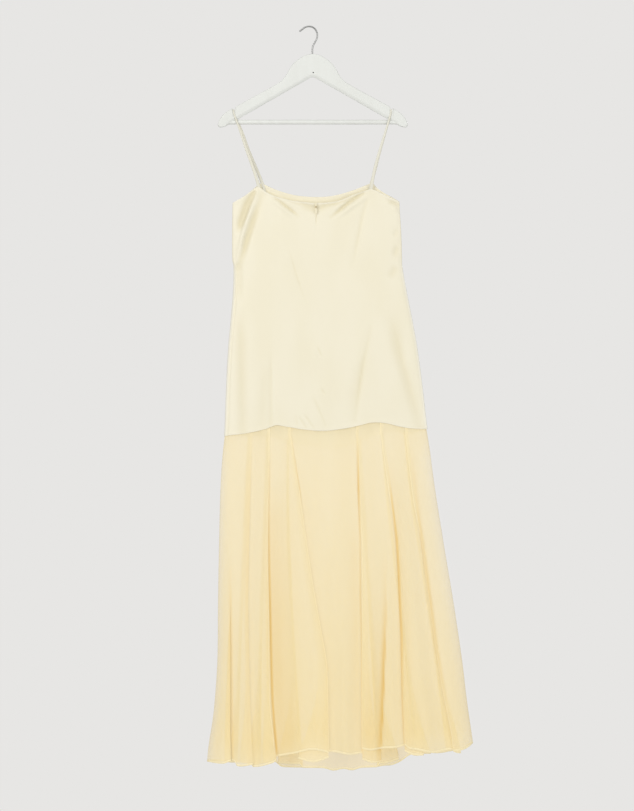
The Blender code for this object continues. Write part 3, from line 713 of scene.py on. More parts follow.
# "grooves" follow the seams: line, depth (outwards above 0) and half width; the painted highlight gives the
# side that catches light and how strongly
zipGroove = smoothCurve(((404, -0.6), (425, -0.5), (450, -0.12), (735, -0.1), (750, -0.4), (765, -0.1),
                         (930, -0.15)))
leftFell = smoothCurve(((530, 0.2), (556, 1.5), (900, 1.5), (930, 1.0)))  # the side seam's ridge, low down
satinBackLeft = {"name": "satin_back_left", "node": "bodice_back_left", "columns": 80,
                 "flat": (0.245, 0.585), "area": 0.115, "paintedHighlight": (0, 0.95),
                 "grooves": ((centreBack, zipGroove, 1.2), (lambda drop: leftAt(drop) + 3.2, leftFell, 1.7),
                             (lambda drop: leftAt(drop) + 7.2, lambda drop: -0.8 * leftFell(drop), 2.2))}
satinBackRight = {"name": "satin_back_right", "node": "bodice_back_right", "columns": 80,
                  "flat": (0.250, 0.585), "area": 0.122, "paintedHighlight": (1, 0.9),
                  "grooves": ((centreBack, zipGroove, 1.2), (lambda drop: rightAt(drop) - 4.5, -0.35, 2.2))}
satinFront = {"name": "satin_front", "node": "bodice_front", "columns": 150,
              "flat": (0.480, 0.625), "area": 0.245,
              "grooves": ((lambda drop: leftAt(drop) + 5.0, -0.9, 2.2),
                          (lambda drop: rightAt(drop) - 5.0, -0.9, 2.2))}
satinPanel(satinBackLeft, -1, leftAt, lambda drop: centreBack(drop) - 0.02, topBack, waistBack,
           backCreases)
satinPanel(satinBackRight, -1, lambda drop: centreBack(drop) + 0.02, rightAt, topBack, waistBack,
           backCreases)
satinPanel(satinFront, 1, leftAt, rightAt, topFront, waistFront, frontCreases)
print("satin panels ready")


# Chiffon skirt: seven gores behind and seven in front. At each seam the outer gore lies on top and
# its neighbour folds under it, further and further towards the hem.
layerStep = smoothCurve(((930, 0.7), (1000, 1.4), (1080, 2.2), (1250, 3.2), (1450, 3.9), (1690, 4.6)))
skirt = {
    "top": 930,
    "length": 740,
    "rows": 90,
    "columns": 30,
    "sideColumns": 20,
    "overlap": 4.0,  # how far its top goes up inside the satin
    "firstRow": 0.6,  # where its colours start, above the satin's edge
    "least": 0.1,  # depth of the seen cloth
    "past": 8.0,  # how far its laps may reach past the plane between back and front
    "inset": (2.2, 925, 50),  # how deep inside, down to which drop, and over what length it comes out
    "leastLap": 6.0,
    "lap": (0.0, 0.12, 0.3, 0.5, 0.7, 0.88, 1.0),  # columns of a lap as shares of its reach
    "hemWidth": 4.2,
    "hem": ((-3.6, 0.0), (-1.8, 0.0), (0.0, 0.0), (0.5, 0.2), (0.6, 0.9), (-0.8, 1.3), (-3.4, 1.3)),
}
skirtShade = {
    "under": 0.04,  # painted shade of a layer under another, at the hem
    "side": 0.72,  # the side gores deepen less towards the hem
    "pale": (0.93, 0.5, 0.8),  # close above the hem: from how far down, how much paler, and under a lap
    "hem": (0.25, 0.6),  # depth of colour and density
    "sewn": -0.85,
    "edge": (0.42, 1.3),  # the doubled edge on top of a seam, with a painted highlight: strength and half width
    "edgeTop": (0.14, 0.2, 2.6),  # near the waist: how far down, and what is added to both
    "lapEdge": 0.35,  # share of a lap that fades in
    # more of the backdrop shows towards the side seams, left and right: strength, half width, how much
    # weaker it is at the hem, and from how far down it weakens
    "sides": ((0.36, 12, 0.0, 0.55), (0.38, 22, 0.55, 0.55)),
    "sidesFrom": 0.1,
}
foldFade = smoothCurve(((0, 0.6), (0.4, 0.6), (0.8, 0.6), (0.97, 0.0)))  # soft inner edges above the hem
foldOpens = smoothCurve(((0, 0.5), (0.1, 0.35), (0.3, 0.2), (0.6, 0.2), (0.8, 0.32), (0.92, 0.66), (1, 1)))

# Seams: "x" and "reach" (how far the lap goes under) by drop, and the drop of the lap's hem at its start,
# middle and end
backSeams = (
    {"x": ((931, -131), (1018, -134.6), (1179, -139), (1317, -141.5), (1547, -137), (1697, -130)),
     "reach": ((931, 7), (1080, 12), (1250, 18), (1450, 22), (1690, 26)), "hem": (1693, 1690, 1688)},
    {"x": ((931, -91), (1225, -95.5), (1317, -93.6), (1566, -89.7), (1620, -83.5), (1665, -78.6),
           (1682, -75)),
     "reach": ((931, 7), (1080, 10), (1250, 16), (1450, 22), (1690, 30)), "hem": (1680, 1688, 1690)},
    {"x": ((938, -43), (1041, -26.5), (1156, -10.4), (1294, 10.4), (1409, 31), (1467, 40), (1630, 44),
           (1670, 44)),
     "reach": ((931, 7), (1080, 40), (1180, 68), (1450, 70), (1690, 68)), "hem": (1677, 1688, 1680)},
    {"x": ((931, 107), (1110, 114), (1179, 119.8), (1589, 120), (1669, 121)),
     "reach": ((931, 7), (1110, 11), (1230, 40), (1356, 59), (1467, 55), (1630, 47), (1690, 41)),
     "hem": (1681, 1688, 1687.5)},
    {"x": ((931, 162), (1087, 185), (1179, 199), (1336, 208), (1547, 214), (1651, 218.5)),
     "reach": ((931, 7), (1080, 18), (1250, 26), (1450, 34), (1690, 42)), "hem": (1662, 1672, 1672)},
    {"x": ((938, 220), (1087, 238), (1179, 256.5), (1342, 277), (1508, 302.5), (1609, 323), (1662, 330)),
     "reach": ((931, 7), (1080, 12), (1250, 15), (1450, 16), (1690, 16)), "hem": (1663, 1667, 1668)},
)
frontSeams = (
    {"x": ((930, -136), (1080, -143), (1250, -150), (1450, -158), (1690, -166)),
     "reach": ((930, 7), (1080, 10), (1250, 13), (1450, 16), (1690, 18)), "hem": (1691, 1692, 1691.5)},
    {"x": ((930, -94), (1080, -98), (1250, -104), (1450, -110), (1690, -112)),
     "reach": ((930, 7), (1080, 12), (1250, 18), (1450, 24), (1690, 28)), "hem": (1696, 1698, 1698)},
    {"x": ((930, -46), (1080, -47), (1250, -42), (1450, -32), (1690, -16)),
     "reach": ((930, 7), (1080, 18), (1250, 28), (1450, 40), (1690, 54)), "hem": (1697, 1697, 1695)},
    {"x": ((930, 112), (1080, 120), (1250, 130), (1450, 142), (1690, 156)),
     "reach": ((930, 7), (1080, 24), (1250, 34), (1450, 42), (1690, 48)), "hem": (1696, 1694, 1687)},
    {"x": ((930, 164), (1080, 176), (1250, 196), (1450, 220), (1690, 246)),
     "reach": ((930, 7), (1080, 14), (1250, 20), (1450, 26), (1690, 34)), "hem": (1670, 1672, 1672)},
    {"x": ((930, 216), (1080, 232), (1250, 258), (1450, 288), (1690, 318)),
     "reach": ((930, 7), (1080, 10), (1250, 13), (1450, 16), (1690, 18)), "hem": (1666, 1666, 1664)},
)
frontHem = (
    (-236, 1688), (-199, 1690), (-169, 1691), (-132, 1696), (-98, 1693.5), (-78, 1692), (-66, 1702.5),
    (-40, 1704.5), (-10, 1705), (33, 1706.5), (56, 1712), (77, 1708), (99, 1711.5), (118, 1705.5),
    (154, 1703.5), (172, 1700.5), (189, 1699.5), (203, 1694.5), (214, 1688), (228, 1677), (246, 1670.5),
    (268, 1669.5), (290, 1671), (318, 1667.5), (331, 1664), (352, 1661.5), (379, 1643),
)

# "flutes" are free folds: place across the gore, half width across it, height outwards at the hem
backGores = (
    {"name": "side_left", "hem": ((-236, 1688), (-199, 1691.5), (-173, 1685), (-166, 1697), (-130, 1693.5)),
     "flutes": ((0.35, 0.14, 3), (0.86, 0.1, 2)), "flat": (0.165, 0.775), "area": 0.071},
    {"name": "left_outer", "hem": ((-131, 1699), (-115, 1698), (-98, 1693.5), (-82, 1688), (-75, 1681.5)),
     "flutes": ((0.5, 0.2, 2),), "flat": (0.130, 0.780), "area": 0.054,
     "creases": (crease(1.8, 1.4, (-106, 1632), (-80, 1657), (-76, 1680)),)},
    {"name": "left_inner", "hem": ((-75, 1675), (-32, 1667), (3.5, 1659), (38, 1664), (44, 1666)),
     "flutes": ((0.45, 0.18, 4), (0.78, 0.1, -2)), "flat": (0.205, 0.780), "area": 0.094},
    {"name": "centre", "hem": ((44, 1663), (68, 1666), (92, 1670.5), (121, 1667)),
     "flutes": ((0.5, 0.2, 4),), "flat": (0.350, 0.785), "area": 0.141},
    {"name": "right_inner", "hem": ((121, 1657), (140, 1660), (166, 1656), (198, 1654.5), (219, 1649.5)),
     "flutes": ((0.26, 0.15, 5), (0.75, 0.12, 3)), "flat": (0.210, 0.780), "area": 0.082},
    {"name": "right_outer", "hem": ((219, 1648.5), (228, 1656), (246, 1659.5), (286, 1666), (319, 1659.5),
                                    (330, 1661)),
     "flutes": ((0.5, 0.22, 6), (0.12, 0.08, 3)), "flat": (0.165, 0.770), "area": 0.070},
    {"name": "side_right", "hem": ((330, 1664), (352, 1660.5), (367, 1653), (379, 1643)),
     "flutes": ((0.5, 0.3, 1),), "flat": (0.075, 0.760), "area": 0.045},
)
frontGores = (
    {"name": "side_left", "flutes": ((0.5, 0.25, 1),), "flat": (0.085, 0.765), "area": 0.051},
    {"name": "left_outer", "flutes": ((0.5, 0.16, 4),), "flat": (0.105, 0.765), "area": 0.054},
    {"name": "left_inner", "flutes": ((0.55, 0.16, 7),), "flat": (0.170, 0.770), "area": 0.072},
    {"name": "centre", "flutes": ((0.3, 0.12, 4), (0.62, 0.14, 7)), "flat": (0.405, 0.765), "area": 0.177},
    {"name": "right_inner", "flutes": ((0.5, 0.16, 7),), "flat": (0.180, 0.765), "area": 0.072},
    {"name": "right_outer", "flutes": ((0.5, 0.16, 5),), "flat": (0.125, 0.760), "area": 0.063},
    {"name": "side_right", "flutes": ((0.5, 0.25, 1),), "flat": (0.080, 0.750), "area": 0.050},
)

# A fold of its own in the back's left side gore, from halfway down
sideTuck = {
    "x": smoothCurve(((1317, -182), (1425, -180.5), (1609, -180), (1697, -178))),
    "reach": smoothCurve(((1300, 0), (1340, 2), (1425, 7), (1609, 14), (1697, 17))),
    "start": 1310,
    "closes": 90,  # over this length
    "open": 4,  # width of its columns where they still lie flat
    "step": 0.55,  # its layers against a seam's
    "hidden": ((0.25, 1), (0.6, 1), (0.9, 1), (1.0, 1.5), (0.9, 2), (0.6, 2), (0.25, 2)),  # reach, layer
}

# Bands of painted shade, warm in colour, where light has passed through several layers and beside seam
# edges that cast shadows
backBands = (
    band(11, 1.4, (960, -134, 0), (1018, -135, 0.12), (1110, -138, 0.22), (1317, -142, 0.22),
         (1547, -138, 0.18), (1697, -131, 0.12)),
    band(2.6, 4.0, (960, -92, 0), (1018, -93, 0.22), (1110, -93.5, 0.42), (1179, -93.5, 0.66),
         (1271, -92, 0.85), (1363, -90, 1.0), (1455, -88.3, 1.0), (1547, -85.3, 1.0), (1605, -81, 1.0),
         (1655, -76.5, 1.0), (1676, -75, 0.6)),
    band(14, 38, (1040, -88, 0), (1130, -88, 0.22), (1300, -86, 0.32), (1500, -78, 0.34), (1640, -68, 0.28),
         (1680, -66, 0.1)),
    band(1.6, 2.0, (940, -42, 0.1), (1000, -33, 0.35), (1060, -23, 0.42), (1110, -16, 0.12),
         (1294, 10, 0.1), (1409, 30.6, 0.18), (1467, 39.6, 0.2), (1670, 43.6, 0.16)),
    band(8, 16, (1000, -33, 0), (1110, -16, 0.08), (1294, 10, 0.08), (1467, 39, 0.05)),
    band(2.4, 2.4, (940, 110, 0.1), (985, 111, 0.5), (1060, 112.5, 1.0), (1110, 114, 0.6),
         (1179, 116, 0.45), (1317, 117, 0.55), (1409, 119, 0.35), (1669, 121, 0.3)),
    band(16, 8, (1120, 104, 0), (1200, 106, 0.16), (1400, 108, 0.18), (1560, 108, 0.12), (1680, 108, 0)),
    band(2.4, 1.6, (1560, 165, 0), (1620, 164, 0.5), (1655, 163, 0.5)),
    band(2.6, 3.4, (960, 172, 0), (1041, 184, 0.22), (1087, 189, 0.6), (1179, 200, 1.0), (1240, 204, 1.0),
         (1400, 211, 1.0), (1460, 212, 0.8), (1547, 213, 0.6), (1651, 218, 0.4)),
    band(8, 12, (960, 180, 0), (1087, 196, 0.16), (1336, 216, 0.2), (1547, 222, 0.1)),
    band(2.5, 6.5, (960, 230, 0), (1041, 240, 0.28), (1179, 256.5, 0.45), (1317, 276, 0.52),
         (1409, 287.5, 0.46), (1501, 302.5, 0.3), (1593, 320, 0.14), (1662, 331, 0.08)),
    band(9, 1.8, (1200, 176, 0), (1317, 176, 0.3), (1363, 175.5, 0.55), (1455, 172.5, 0.95),
         (1547, 169.5, 1.0), (1630, 166, 0.95), (1664, 163, 0.5), (1690, 162, 0.2)),
    band(26, 26, (1250, 176, 0), (1356, 160, 0.06), (1467, 152, 0.12), (1620, 145, 0.2), (1680, 142, 0.1)),
    band(5, 3.5, (1230, -183, 0), (1317, -181.5, 0.32), (1425, -180, 0.4), (1609, -178, 0.4),
         (1697, -176.5, 0.2)),
)
frontBands = (
    band(10, 2, (1000, -46, 0), (1250, -50, 0.15), (1690, -36, 0.15)),
    band(2, 12, (1000, 122, 0), (1250, 134, 0.15), (1600, 154, 0.15), (1690, 160, 0)),
)


def insetAt(drop):
    # how far inside the outline the skirt lies
    most, start, length = skirt["inset"]
    return most * max(0.0, 1 - (drop - start) / length)


def downSkirt(drop):
    # share of the way down the skirt
    return max(0.0, (drop - skirt["top"]) / skirt["length"])


def makeSkirt(side, facing, seamRows, gores, waist, bands):
    seams = [{"x": smoothCurve(seam["x"]), "reach": smoothCurve(seam["reach"]),
              "hem": smoothCurve(list(zip((0.0, 0.5, 1.0), seam["hem"])))} for seam in seamRows]
    last = len(gores) - 1
    middle = last // 2

    def endsAt(gore, drop):
        inset = insetAt(drop)
        left = seams[gore - 1]["x"](drop) if gore else leftAt(drop) + inset
        right = rightAt(drop) - inset if gore == last else seams[gore]["x"](drop)
        return left, right

    def layerDepth(gore, x, drop):
        # how far inside the form the seen stretch of a gore lies
        left, right = endsAt(gore, drop)
        f = min(1.0, max(0.0, (x - left) / (right - left)))
        if gore == middle:
            sunk = 0.75 + 0.25 * math.cos(2 * math.pi * f)
        elif gore in (0, last):
            sunk = 0.0
        else:
            sunk = 0.5 + 0.5 * math.cos(math.pi * (f if gore < middle else 1 - f))
        down = downSkirt(drop)
        flute = sum(high * down**1.5 * math.exp(-(((f - place) / half) ** 2))
                    for place, half, high in gores[gore]["flutes"])
        return 2 * layerStep(drop) * sunk - flute

    def lapColumns(seam, way):
        # columns of the fold under a seam, from the seam inwards: share of reach, layer, hem drop
        hem = seams[seam]["hem"]
        made = [("lap", seam, way, share, 1, hem(share)) for share in skirt["lap"]]
        made += [("turn", seam, way, angle, 1, hem(1.0)) for angle in (45, 90, 135)]
        made += [("lap", seam, way, share, 2, hem(share)) for share in skirt["lap"][:0:-1]]
        return made

    def tuckColumns():
        # share, layer and order: layer 0 is left of the tuck, 1 to 2 are folded under, 3 is on its right
        made = [("tuck", share, 0, 0) for share in spread(16, 1.6, 1.1)]
        for i, (share, layer) in enumerate(sideTuck["hidden"], 1):
            made.append(("tuck", share, layer, i / (len(sideTuck["hidden"]) + 1)))
        made += [("tuck", share, 3, 1) for share in spread(12, 1.1, 1.3)]
        return made

    def columnsOf(gore):
        # from left to right, with the laps under its neighbours
        if side == "back" and gore == 0:
            columns = tuckColumns()
        else:
            count = skirt["columns" if 0 < gore < last else "sideColumns"]
            columns = [("run", share) for share in spread(count, 1.35, 1.35)]
        if 0 < gore <= middle:
            columns = lapColumns(gore - 1, -1) + columns
        if middle <= gore < last:
            columns = columns + lapColumns(gore, 1)[::-1]
        return columns

    def runPlace(gore, column, drop):
        left, right = endsAt(gore, drop)
        x = left + (right - left) * column[1]
        return x, layerDepth(gore, x, drop)

    def tuckPlace(gore, column, drop):
        # above its start the tuck's columns lie flat, one after the other
        share, layer, order = column[1:]
        folded = min(1.0, max(0.0, (drop - sideTuck["start"]) / sideTuck["closes"]))
        flat = sideTuck["open"] * (1 - folded)
        step = sideTuck["step"] * layerStep(drop) * folded
        foldX = sideTuck["x"](drop)
        left, right = endsAt(gore, drop)
        if layer == 0:
            x = left + (foldX - left) * share
            return x, layerDepth(gore, x, drop)
        if layer == 3:
            x = foldX + flat + (right - foldX - flat) * share
            return x, layerDepth(gore, x, drop) + 2 * step * (1 - share) ** 1.5
        x = foldX - sideTuck["reach"](drop) * share * folded + flat * order
        return x, layerDepth(gore, x, drop) + step * layer

    def lapPlace(gore, column, drop):
        kind, seam, way, share, layer = column[:5]
        outer = seam if way < 0 else seam + 1
        start, step = seams[seam]["x"](drop), layerStep(drop)
        reach = max(skirt["leastLap"], seams[seam]["reach"](drop) * foldOpens(downSkirt(drop)))
        if kind == "turn":
            angle = math.radians(share)
            base = layerDepth(outer, start + way * reach, drop)
            x = start + way * (reach + step / 2 * math.sin(angle))
            return x, base + 1.5 * step - step / 2 * math.cos(angle)
        x = start + way * reach * share
        nearest = min(1.0, 0.5 * step)
        near = nearest + (step - nearest) * math.sin(math.pi / 2 * share)
        return x, layerDepth(outer, x, drop) + (near if layer == 1 else 2 * step)

    placeOf = {"run": runPlace, "tuck": tuckPlace, "lap": lapPlace, "turn": lapPlace}

    def spanOf(gore, column, hemAt):
        # the drops of a column's two ends, where it meets the waist and the hem
        top, hem = 930.0, 1680.0
        for _ in range(4):
            top = waist(placeOf[column[0]](gore, column, top)[0]) - skirt["overlap"]
        if column[0] in ("lap", "turn"):
            return top, column[5]
        for _ in range(4):
            hem = hemAt(placeOf[column[0]](gore, column, hem)[0])
        return top, hem

    def shadesAt(gore, column, x, drop, v, stretch):
        # how much painted shade, how deep in colour and how dense the cloth is at one point
        kind = column[0]
        isLap, isSide = kind in ("lap", "turn"), gore in (0, last)
        isUnder = isLap or (kind == "tuck" and 0 < column[2] < 3)
        paintedShade = skirtShade["under"] * v if isUnder else 0.0
        low = v * (skirtShade["side"] if isSide else 1.0)
        if gore != middle or isUnder:
            start, paler, palerUnder = skirtShade["pale"]
            low *= 1 - (palerUnder if isUnder else paler) * max(0.0, v - start) / (1 - start)
        if stretch == "hem":
            return (paintedShade, *skirtShade["hem"])
        if stretch == "sewn":
            return paintedShade, low, skirtShade["sewn"]
        dense = 0.0
        left, right = endsAt(gore, drop)
        if kind == "run" and gore != middle:  # the edge that lies on top is sewn double, and gets a painted highlight
            strength, half = skirtShade["edge"]
            end, stronger, wider = skirtShade["edgeTop"]
            near = max(0, 1 - v / end)
            away = right - x if gore < middle else x - left
            dense = (strength + stronger * near) * math.exp(-((away / (half + wider * near)) ** 2))
        elif isLap:  # the fold's inner edge is only clear at the hem
            share = column[3] if kind == "lap" else 1.0
            dense = -foldFade(v) * min(1.0, share / skirtShade["lapEdge"])
        if isSide:
            strength, half, weaker, start = skirtShade["sides"][0 if gore == 0 else 1]
            away = x - left if gore == 0 else right - x
            lower = weaker * max(0.0, v - start) / (1 - start)
            shown = min(1, v / skirtShade["sidesFrom"]) - lower
            dense -= strength * shown * math.exp(-((away / half) ** 2))
        return paintedShade, low, dense

    for gore, sheet in enumerate(gores):
        hemAt = smoothCurve(sheet.get("hem", frontHem))
        creases = sheet.get("creases", ())
        columns = columnsOf(gore)
        spans = [spanOf(gore, column, hemAt) for column in columns]
        grid, xs, drops, shades = [], [], [], []
        for r in range(-1, skirt["rows"] + len(skirt["hem"]) + 1):
            line = []
            v = min(1.0, (max(r, 0) / skirt["rows"]) ** 0.95)
            stretch = "sewn" if r < 0 else "hem" if r > skirt["rows"] else "seen"
            covered = 0.0 if stretch == "sewn" else skirt["overlap"] - skirt["firstRow"]
            rollDrop, rollDepth = -skirt["hemWidth"], 0.0
            if stretch == "hem":
                rollDrop, rollDepth = skirt["hem"][r - skirt["rows"] - 1]
            for column, (top, hem) in zip(columns, spans):
                drop = top + covered + v * (hem + min(0.0, rollDrop) - top - covered)
                x, depth = placeOf[column[0]](gore, column, drop)
                form = formDepth(x, drop, insetAt(drop))
                if creases and column[0] == "run":
                    depth -= creaseField(np.array([x]), np.array([drop]), creases)[0]
                least = skirt["least"] if column[0] == "run" else -skirt["past"]
                out = max(form - depth - rollDepth, least)
                line.append((x, facing * out, -(drop + max(0.0, rollDrop))))
                xs.append(x)
                drops.append(drop)
                shades.append(shadesAt(gore, column, x, drop, v, stretch))
            grid.append(line)
        paintedShade, low, dense = np.array(shades).T
        paintedShade = np.clip(paintedShade + bandField(np.array(xs), np.array(drops), bands), 0, 1)
        obj = gridMesh(f"chiffon_{side}_{sheet['name']}", grid, chiffon,
                       {"paintedShade": paintedShade, "low": low, "dense": dense})
        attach(obj, "dress")
        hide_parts(f"skirt_{side}_{sheet['name']}")
        for index, seam in enumerate(seams):
            way, outer = (-1, index) if index < middle else (1, index + 1)
            if outer == gore:
                frenchSeam(f"seam_{side}_{index + 1}", facing, way, seam["x"], waist, hemAt,
                                         lambda x, drop: layerDepth(gore, x, drop))


seamStrip = {
    "rows": 70,
    "width": 6.5,
    "columns": (0.06, 0.3, 0.6, 0.9, 1.0),  # shares of the width
    "under": (0.5, 0.2),  # how far inside the gore it lies, and how much further at its inner edge
    "aboveHem": 1,
    "dense": (0.35, 0.85),  # at the waist, and how much less at its inner edge
}


def frenchSeam(name, facing, way, seamX, waist, hemAt, depthUnder):
    # the narrow doubled strip of a seam, on the inside of the outer gore's edge
    rows, dense = [], []
    top, hem = waist(seamX(930)) - skirt["overlap"], hemAt(seamX(1680)) - seamStrip["aboveHem"]
    inside, further = seamStrip["under"]
    strength, fades = seamStrip["dense"]
    for r in range(seamStrip["rows"] + 1):
        v = r / seamStrip["rows"]
        drop = top + v * (hem - top)
        line = []
        for share in seamStrip["columns"]:
            x = seamX(drop) + way * seamStrip["width"] * share
            out = formDepth(x, drop, insetAt(drop)) - depthUnder(x, drop) - inside - further * share
            line.append((x, facing * out, -drop))
            dense.append(strength * (1 - v) - fades * share**2)
        rows.append(line)
    plain = np.zeros(len(dense))
    obj = gridMesh(name, rows, chiffon, {"paintedShade": plain, "low": plain, "dense": dense})
    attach(obj, "dress")
    return obj


makeSkirt("back", -1, backSeams, backGores, waistBack, backBands)
makeSkirt("front", 1, frontSeams, frontGores, waistFront, frontBands)
print("skirt ready")


# Straps: narrow rouleaux, sewn to the back edge, over the hanger's notch and down to the front edge
strap = {
    "half": 3.6,
    "thick": 0.7,
    "sewnIn": 1.9,  # how far inside the satin its ends lie
    "clear": 0.6,  # from the hanger's face, on top of seamGap
    "slack": 0.8,
    "bend": 2.9,  # radius of its turns over the hanger
    "bendIn": 2.0,  # how far inside the hanger's faces they are centred
    "gathers": 0.52,  # share of its width that it loses over the hanger
    "pressed": 0.72,  # thickness under its sewing
    "paintedShade": (0.1, 0.75),  # painted shade in its middle, and what its edges add
}
notch = {"x": 181, "drop": 191.0, "half": 3.0}
hanger = {
    "x": 7.6,
    "half": 7.0,  # half its thickness
    "rounded": (2.2, 2.4, 1.0),  # an edge's inset, depth and roundness
    "beveled": (6.8, 3.7, 0.35),
    "notched": (0.8, 1.0, 1.0),
    "bevelEnds": 196,
    "byStep": 0.07,  # keeps the lower edge's points apart at the round tip
    "edgeSteps": 9,
    "sharpFrom": 16,  # degrees
}
strapRoutes = {
    "left": {
        "back": ((376, -114), (351, -121), (323, -130), (282, -145), (237, -160), (197, -174.5)),
        "front": ((386, -101), (358, -109), (323, -123), (282, -140), (237, -156), (197, -174.5)),
    },
    "right": {
        "back": ((379, 141), (358, 144), (326, 150), (282, 162), (236, 176), (197, 187.5)),
        "front": ((386, 135), (356, 143), (323, 152), (282, 163), (236, 176.5), (197, 187.5)),
    },
}


def strapSide(route, facing):
    # from its sewn end up to the hanger's face
    at = smoothCurve(sorted(route))
    low, high = route[0][0], route[-1][0]
    sewn = hangDepth(at(low), low, facing) - strap["sewnIn"]
    pressed = hanger["half"] + seamGap + strap["clear"]
    line = []
    for i in range(41):
        t = i / 40
        drop = low + (high - low) * t
        bow = strap["slack"] * math.sin(math.pi * t)
        line.append(Vector((at(drop), facing * (sewn + (pressed - sewn) * t + bow), -drop)))
    return line


def strapOver(x):
    # over the hanger in its notch, from back to front
    over = []
    for angle in range(0, 181, 15):
        across = -math.cos(math.radians(angle))
        middle = math.copysign(hanger["half"] - strap["bendIn"], across) if abs(across) > 1e-6 else 0.0
        up = strap["bend"] * math.sin(math.radians(angle)) - strap["bendIn"]
        over.append(Vector((x, middle + strap["bend"] * across, up - notch["drop"])))
    return over


def makeStrap(side, routes):
    ringShape = [(math.cos(a) * strap["half"], math.sin(a) * strap["thick"])
                 for a in np.linspace(0, 2 * math.pi, 17)[:-1]]
    notchX = routes["back"][-1][1]
    path = strapSide(routes["back"], -1) + strapOver(notchX) + strapSide(routes["front"], 1)[::-1]
    sections = []
    for i in range(len(path)):
        fromEnd = min(i, len(path) - 1 - i)
        gathered = 1 - strap["gathers"] * min(1.0, fromEnd / 40) ** 1.3
        flatter = strap["pressed"] if fromEnd < 3 else 1.0
        sections.append([(a * gathered, b * flatter / gathered) for a, b in ringShape])
    obj = tubeMesh(f"satin_strap_{side}", path, sections, strapPaintedShadeSatin)
    # painted shade, stronger towards the tube's edges
    middle, more = strap["paintedShade"]
    edges = [middle + more * abs(across / strap["half"]) ** 5 for across, through in ringShape]
    shade = obj.data.attributes.new("paintedShade", "FLOAT", "POINT")
    shade.data.foreach_set("value", edges * len(path))
    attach(obj, "dress")
    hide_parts(f"strap_{side}")


for side, routes in strapRoutes.items():
    makeStrap(side, routes)
print("straps ready")


# Hanger: one flat board with softly rounded upper edges and a broad bevel underneath
hangerTop = ((0, 61.6), (9, 62.5), (20, 66), (33.8, 75), (43, 82.6), (51.5, 93), (61.6, 111), (68, 119.5),
             (75.9, 126.5), (88, 134), (104.4, 143.3), (140, 162.6), (177.8, 183.2))
hangerLobe = ((184.2, 186.3), (190, 189.6), (197, 194), (206.3, 201.7), (213, 210.5), (217.5, 219.5),
              (218.6, 225))
hangerLow = ((0, 114.3), (5, 116), (14, 120.8), (30, 130), (73, 154.5), (116.6, 179.5), (172, 211),
             (198, 226), (205, 229), (212, 230), (216.8, 228.8))


def alongCurve(points, count):
    # evenly spaced points on a smooth line through points, by length
    lengths = [0.0]
    for (x0, z0), (x1, z1) in zip(points, points[1:]):
        lengths.append(lengths[-1] + math.hypot(x1 - x0, z1 - z0))
    xs = smoothCurve(list(zip(lengths, [p[0] for p in points])))
    zs = smoothCurve(list(zip(lengths, [p[1] for p in points])))
    return [(xs(lengths[-1] * i / count), zs(lengths[-1] * i / count)) for i in range(count + 1)]


def hangerEdges():
    # upper and lower edges of the right half, from the middle out to the tip in matching steps:
    # x, z, then the edge's inset, depth and roundness
    upper = [(x, z) + hanger["rounded"] for x, z in alongCurve(hangerTop, 60)]
    upper += [(notch["x"] + way * notch["half"], notch["drop"]) + hanger["notched"] for way in (-1, 1)]
    upper += [(x, z) + hanger["rounded"] for x, z in alongCurve(hangerLobe, 24)]
    lowAt, reach, tip = smoothCurve(hangerLow), hangerLow[-1][0], upper[-1][0]
    byStep = hanger["byStep"]
    lower = []
    for i, (x, *rest) in enumerate(upper):
        place = reach * ((1 - byStep) * x / tip + byStep * i / (len(upper) - 1))
        kind = "beveled" if place < hanger["bevelEnds"] else "rounded"
        lower.append((place, lowAt(place)) + hanger[kind])
    both = []
    for edge in (upper, lower):
        eased = []
        for i, (x, z, *rest) in enumerate(edge):
            near = edge[max(0, i - 2):i + 3]
            eased.append((x, z) + tuple(sum(p[k] for p in near) / len(near) for k in (2, 3, 4)))
        both.append(eased)
    return both


def makeBoard():
    upper, lower = hangerEdges()
    count = len(upper)
    ring = [(hanger["x"] + x, -z, *edge) for x, z, *edge in upper + lower[::-1]]
    ring += [(hanger["x"] - x, -z, *edge) for x, z, *edge in lower[1:] + upper[:0:-1]]
    total = len(ring)
    inwards = []
    for i in range(total):
        (x0, z0), (x1, z1) = ring[i - 1][:2], ring[(i + 1) % total][:2]
        inwards.append(Vector((z1 - z0, x0 - x1)).normalized())
    steps = hanger["edgeSteps"]
    bm = bmesh.new()
    loops = []
    for facing in (-1, 1):
        for k in (range(steps + 1) if facing < 0 else range(steps, -1, -1)):
            angle, share = math.pi / 2 * k / steps, k / steps
            loop = []
            for (x, z, inset, deep, soft), inward in zip(ring, inwards):
                shift = inset * (soft * (1 - math.sin(angle)) + (1 - soft) * (1 - share))
                back = deep * (soft * (1 - math.cos(angle)) + (1 - soft) * share)
                loop.append(bm.verts.new(Vector((x + inward.x * shift, facing * (hanger["half"] - back),
                                                 z + inward.y * shift)) * mm))
            loops.append(loop)
    joinRings(bm, loops)
    low = 2 * count - 1  # place in the ring of the lower edge's middle
    for loop in (loops[0], loops[-1]):
        for k in range(count - 1):  # the flat faces run between the upper and lower edges
            bm.faces.new((loop[k], loop[k + 1], loop[low - k - 1], loop[low - k]))
            bm.faces.new((loop[(total - k) % total], loop[total - k - 1], loop[low + k + 1], loop[low + k]))
    board = solidFrom(bm, "hanger", paint)
    board.data.set_sharp_from_angle(angle=math.radians(hanger["sharpFrom"]))
    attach(board, "dress")
    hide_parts("hanger_body")


bar = {
    "drop": 218.2,
    "half": 198.5,
    "radius": 5.3,
    "rings": ((0, 0.7), (0.002, 0.9), (0.006, 1), (0.5, 1), (0.994, 1), (0.998, 0.9), (1, 0.7)),
}


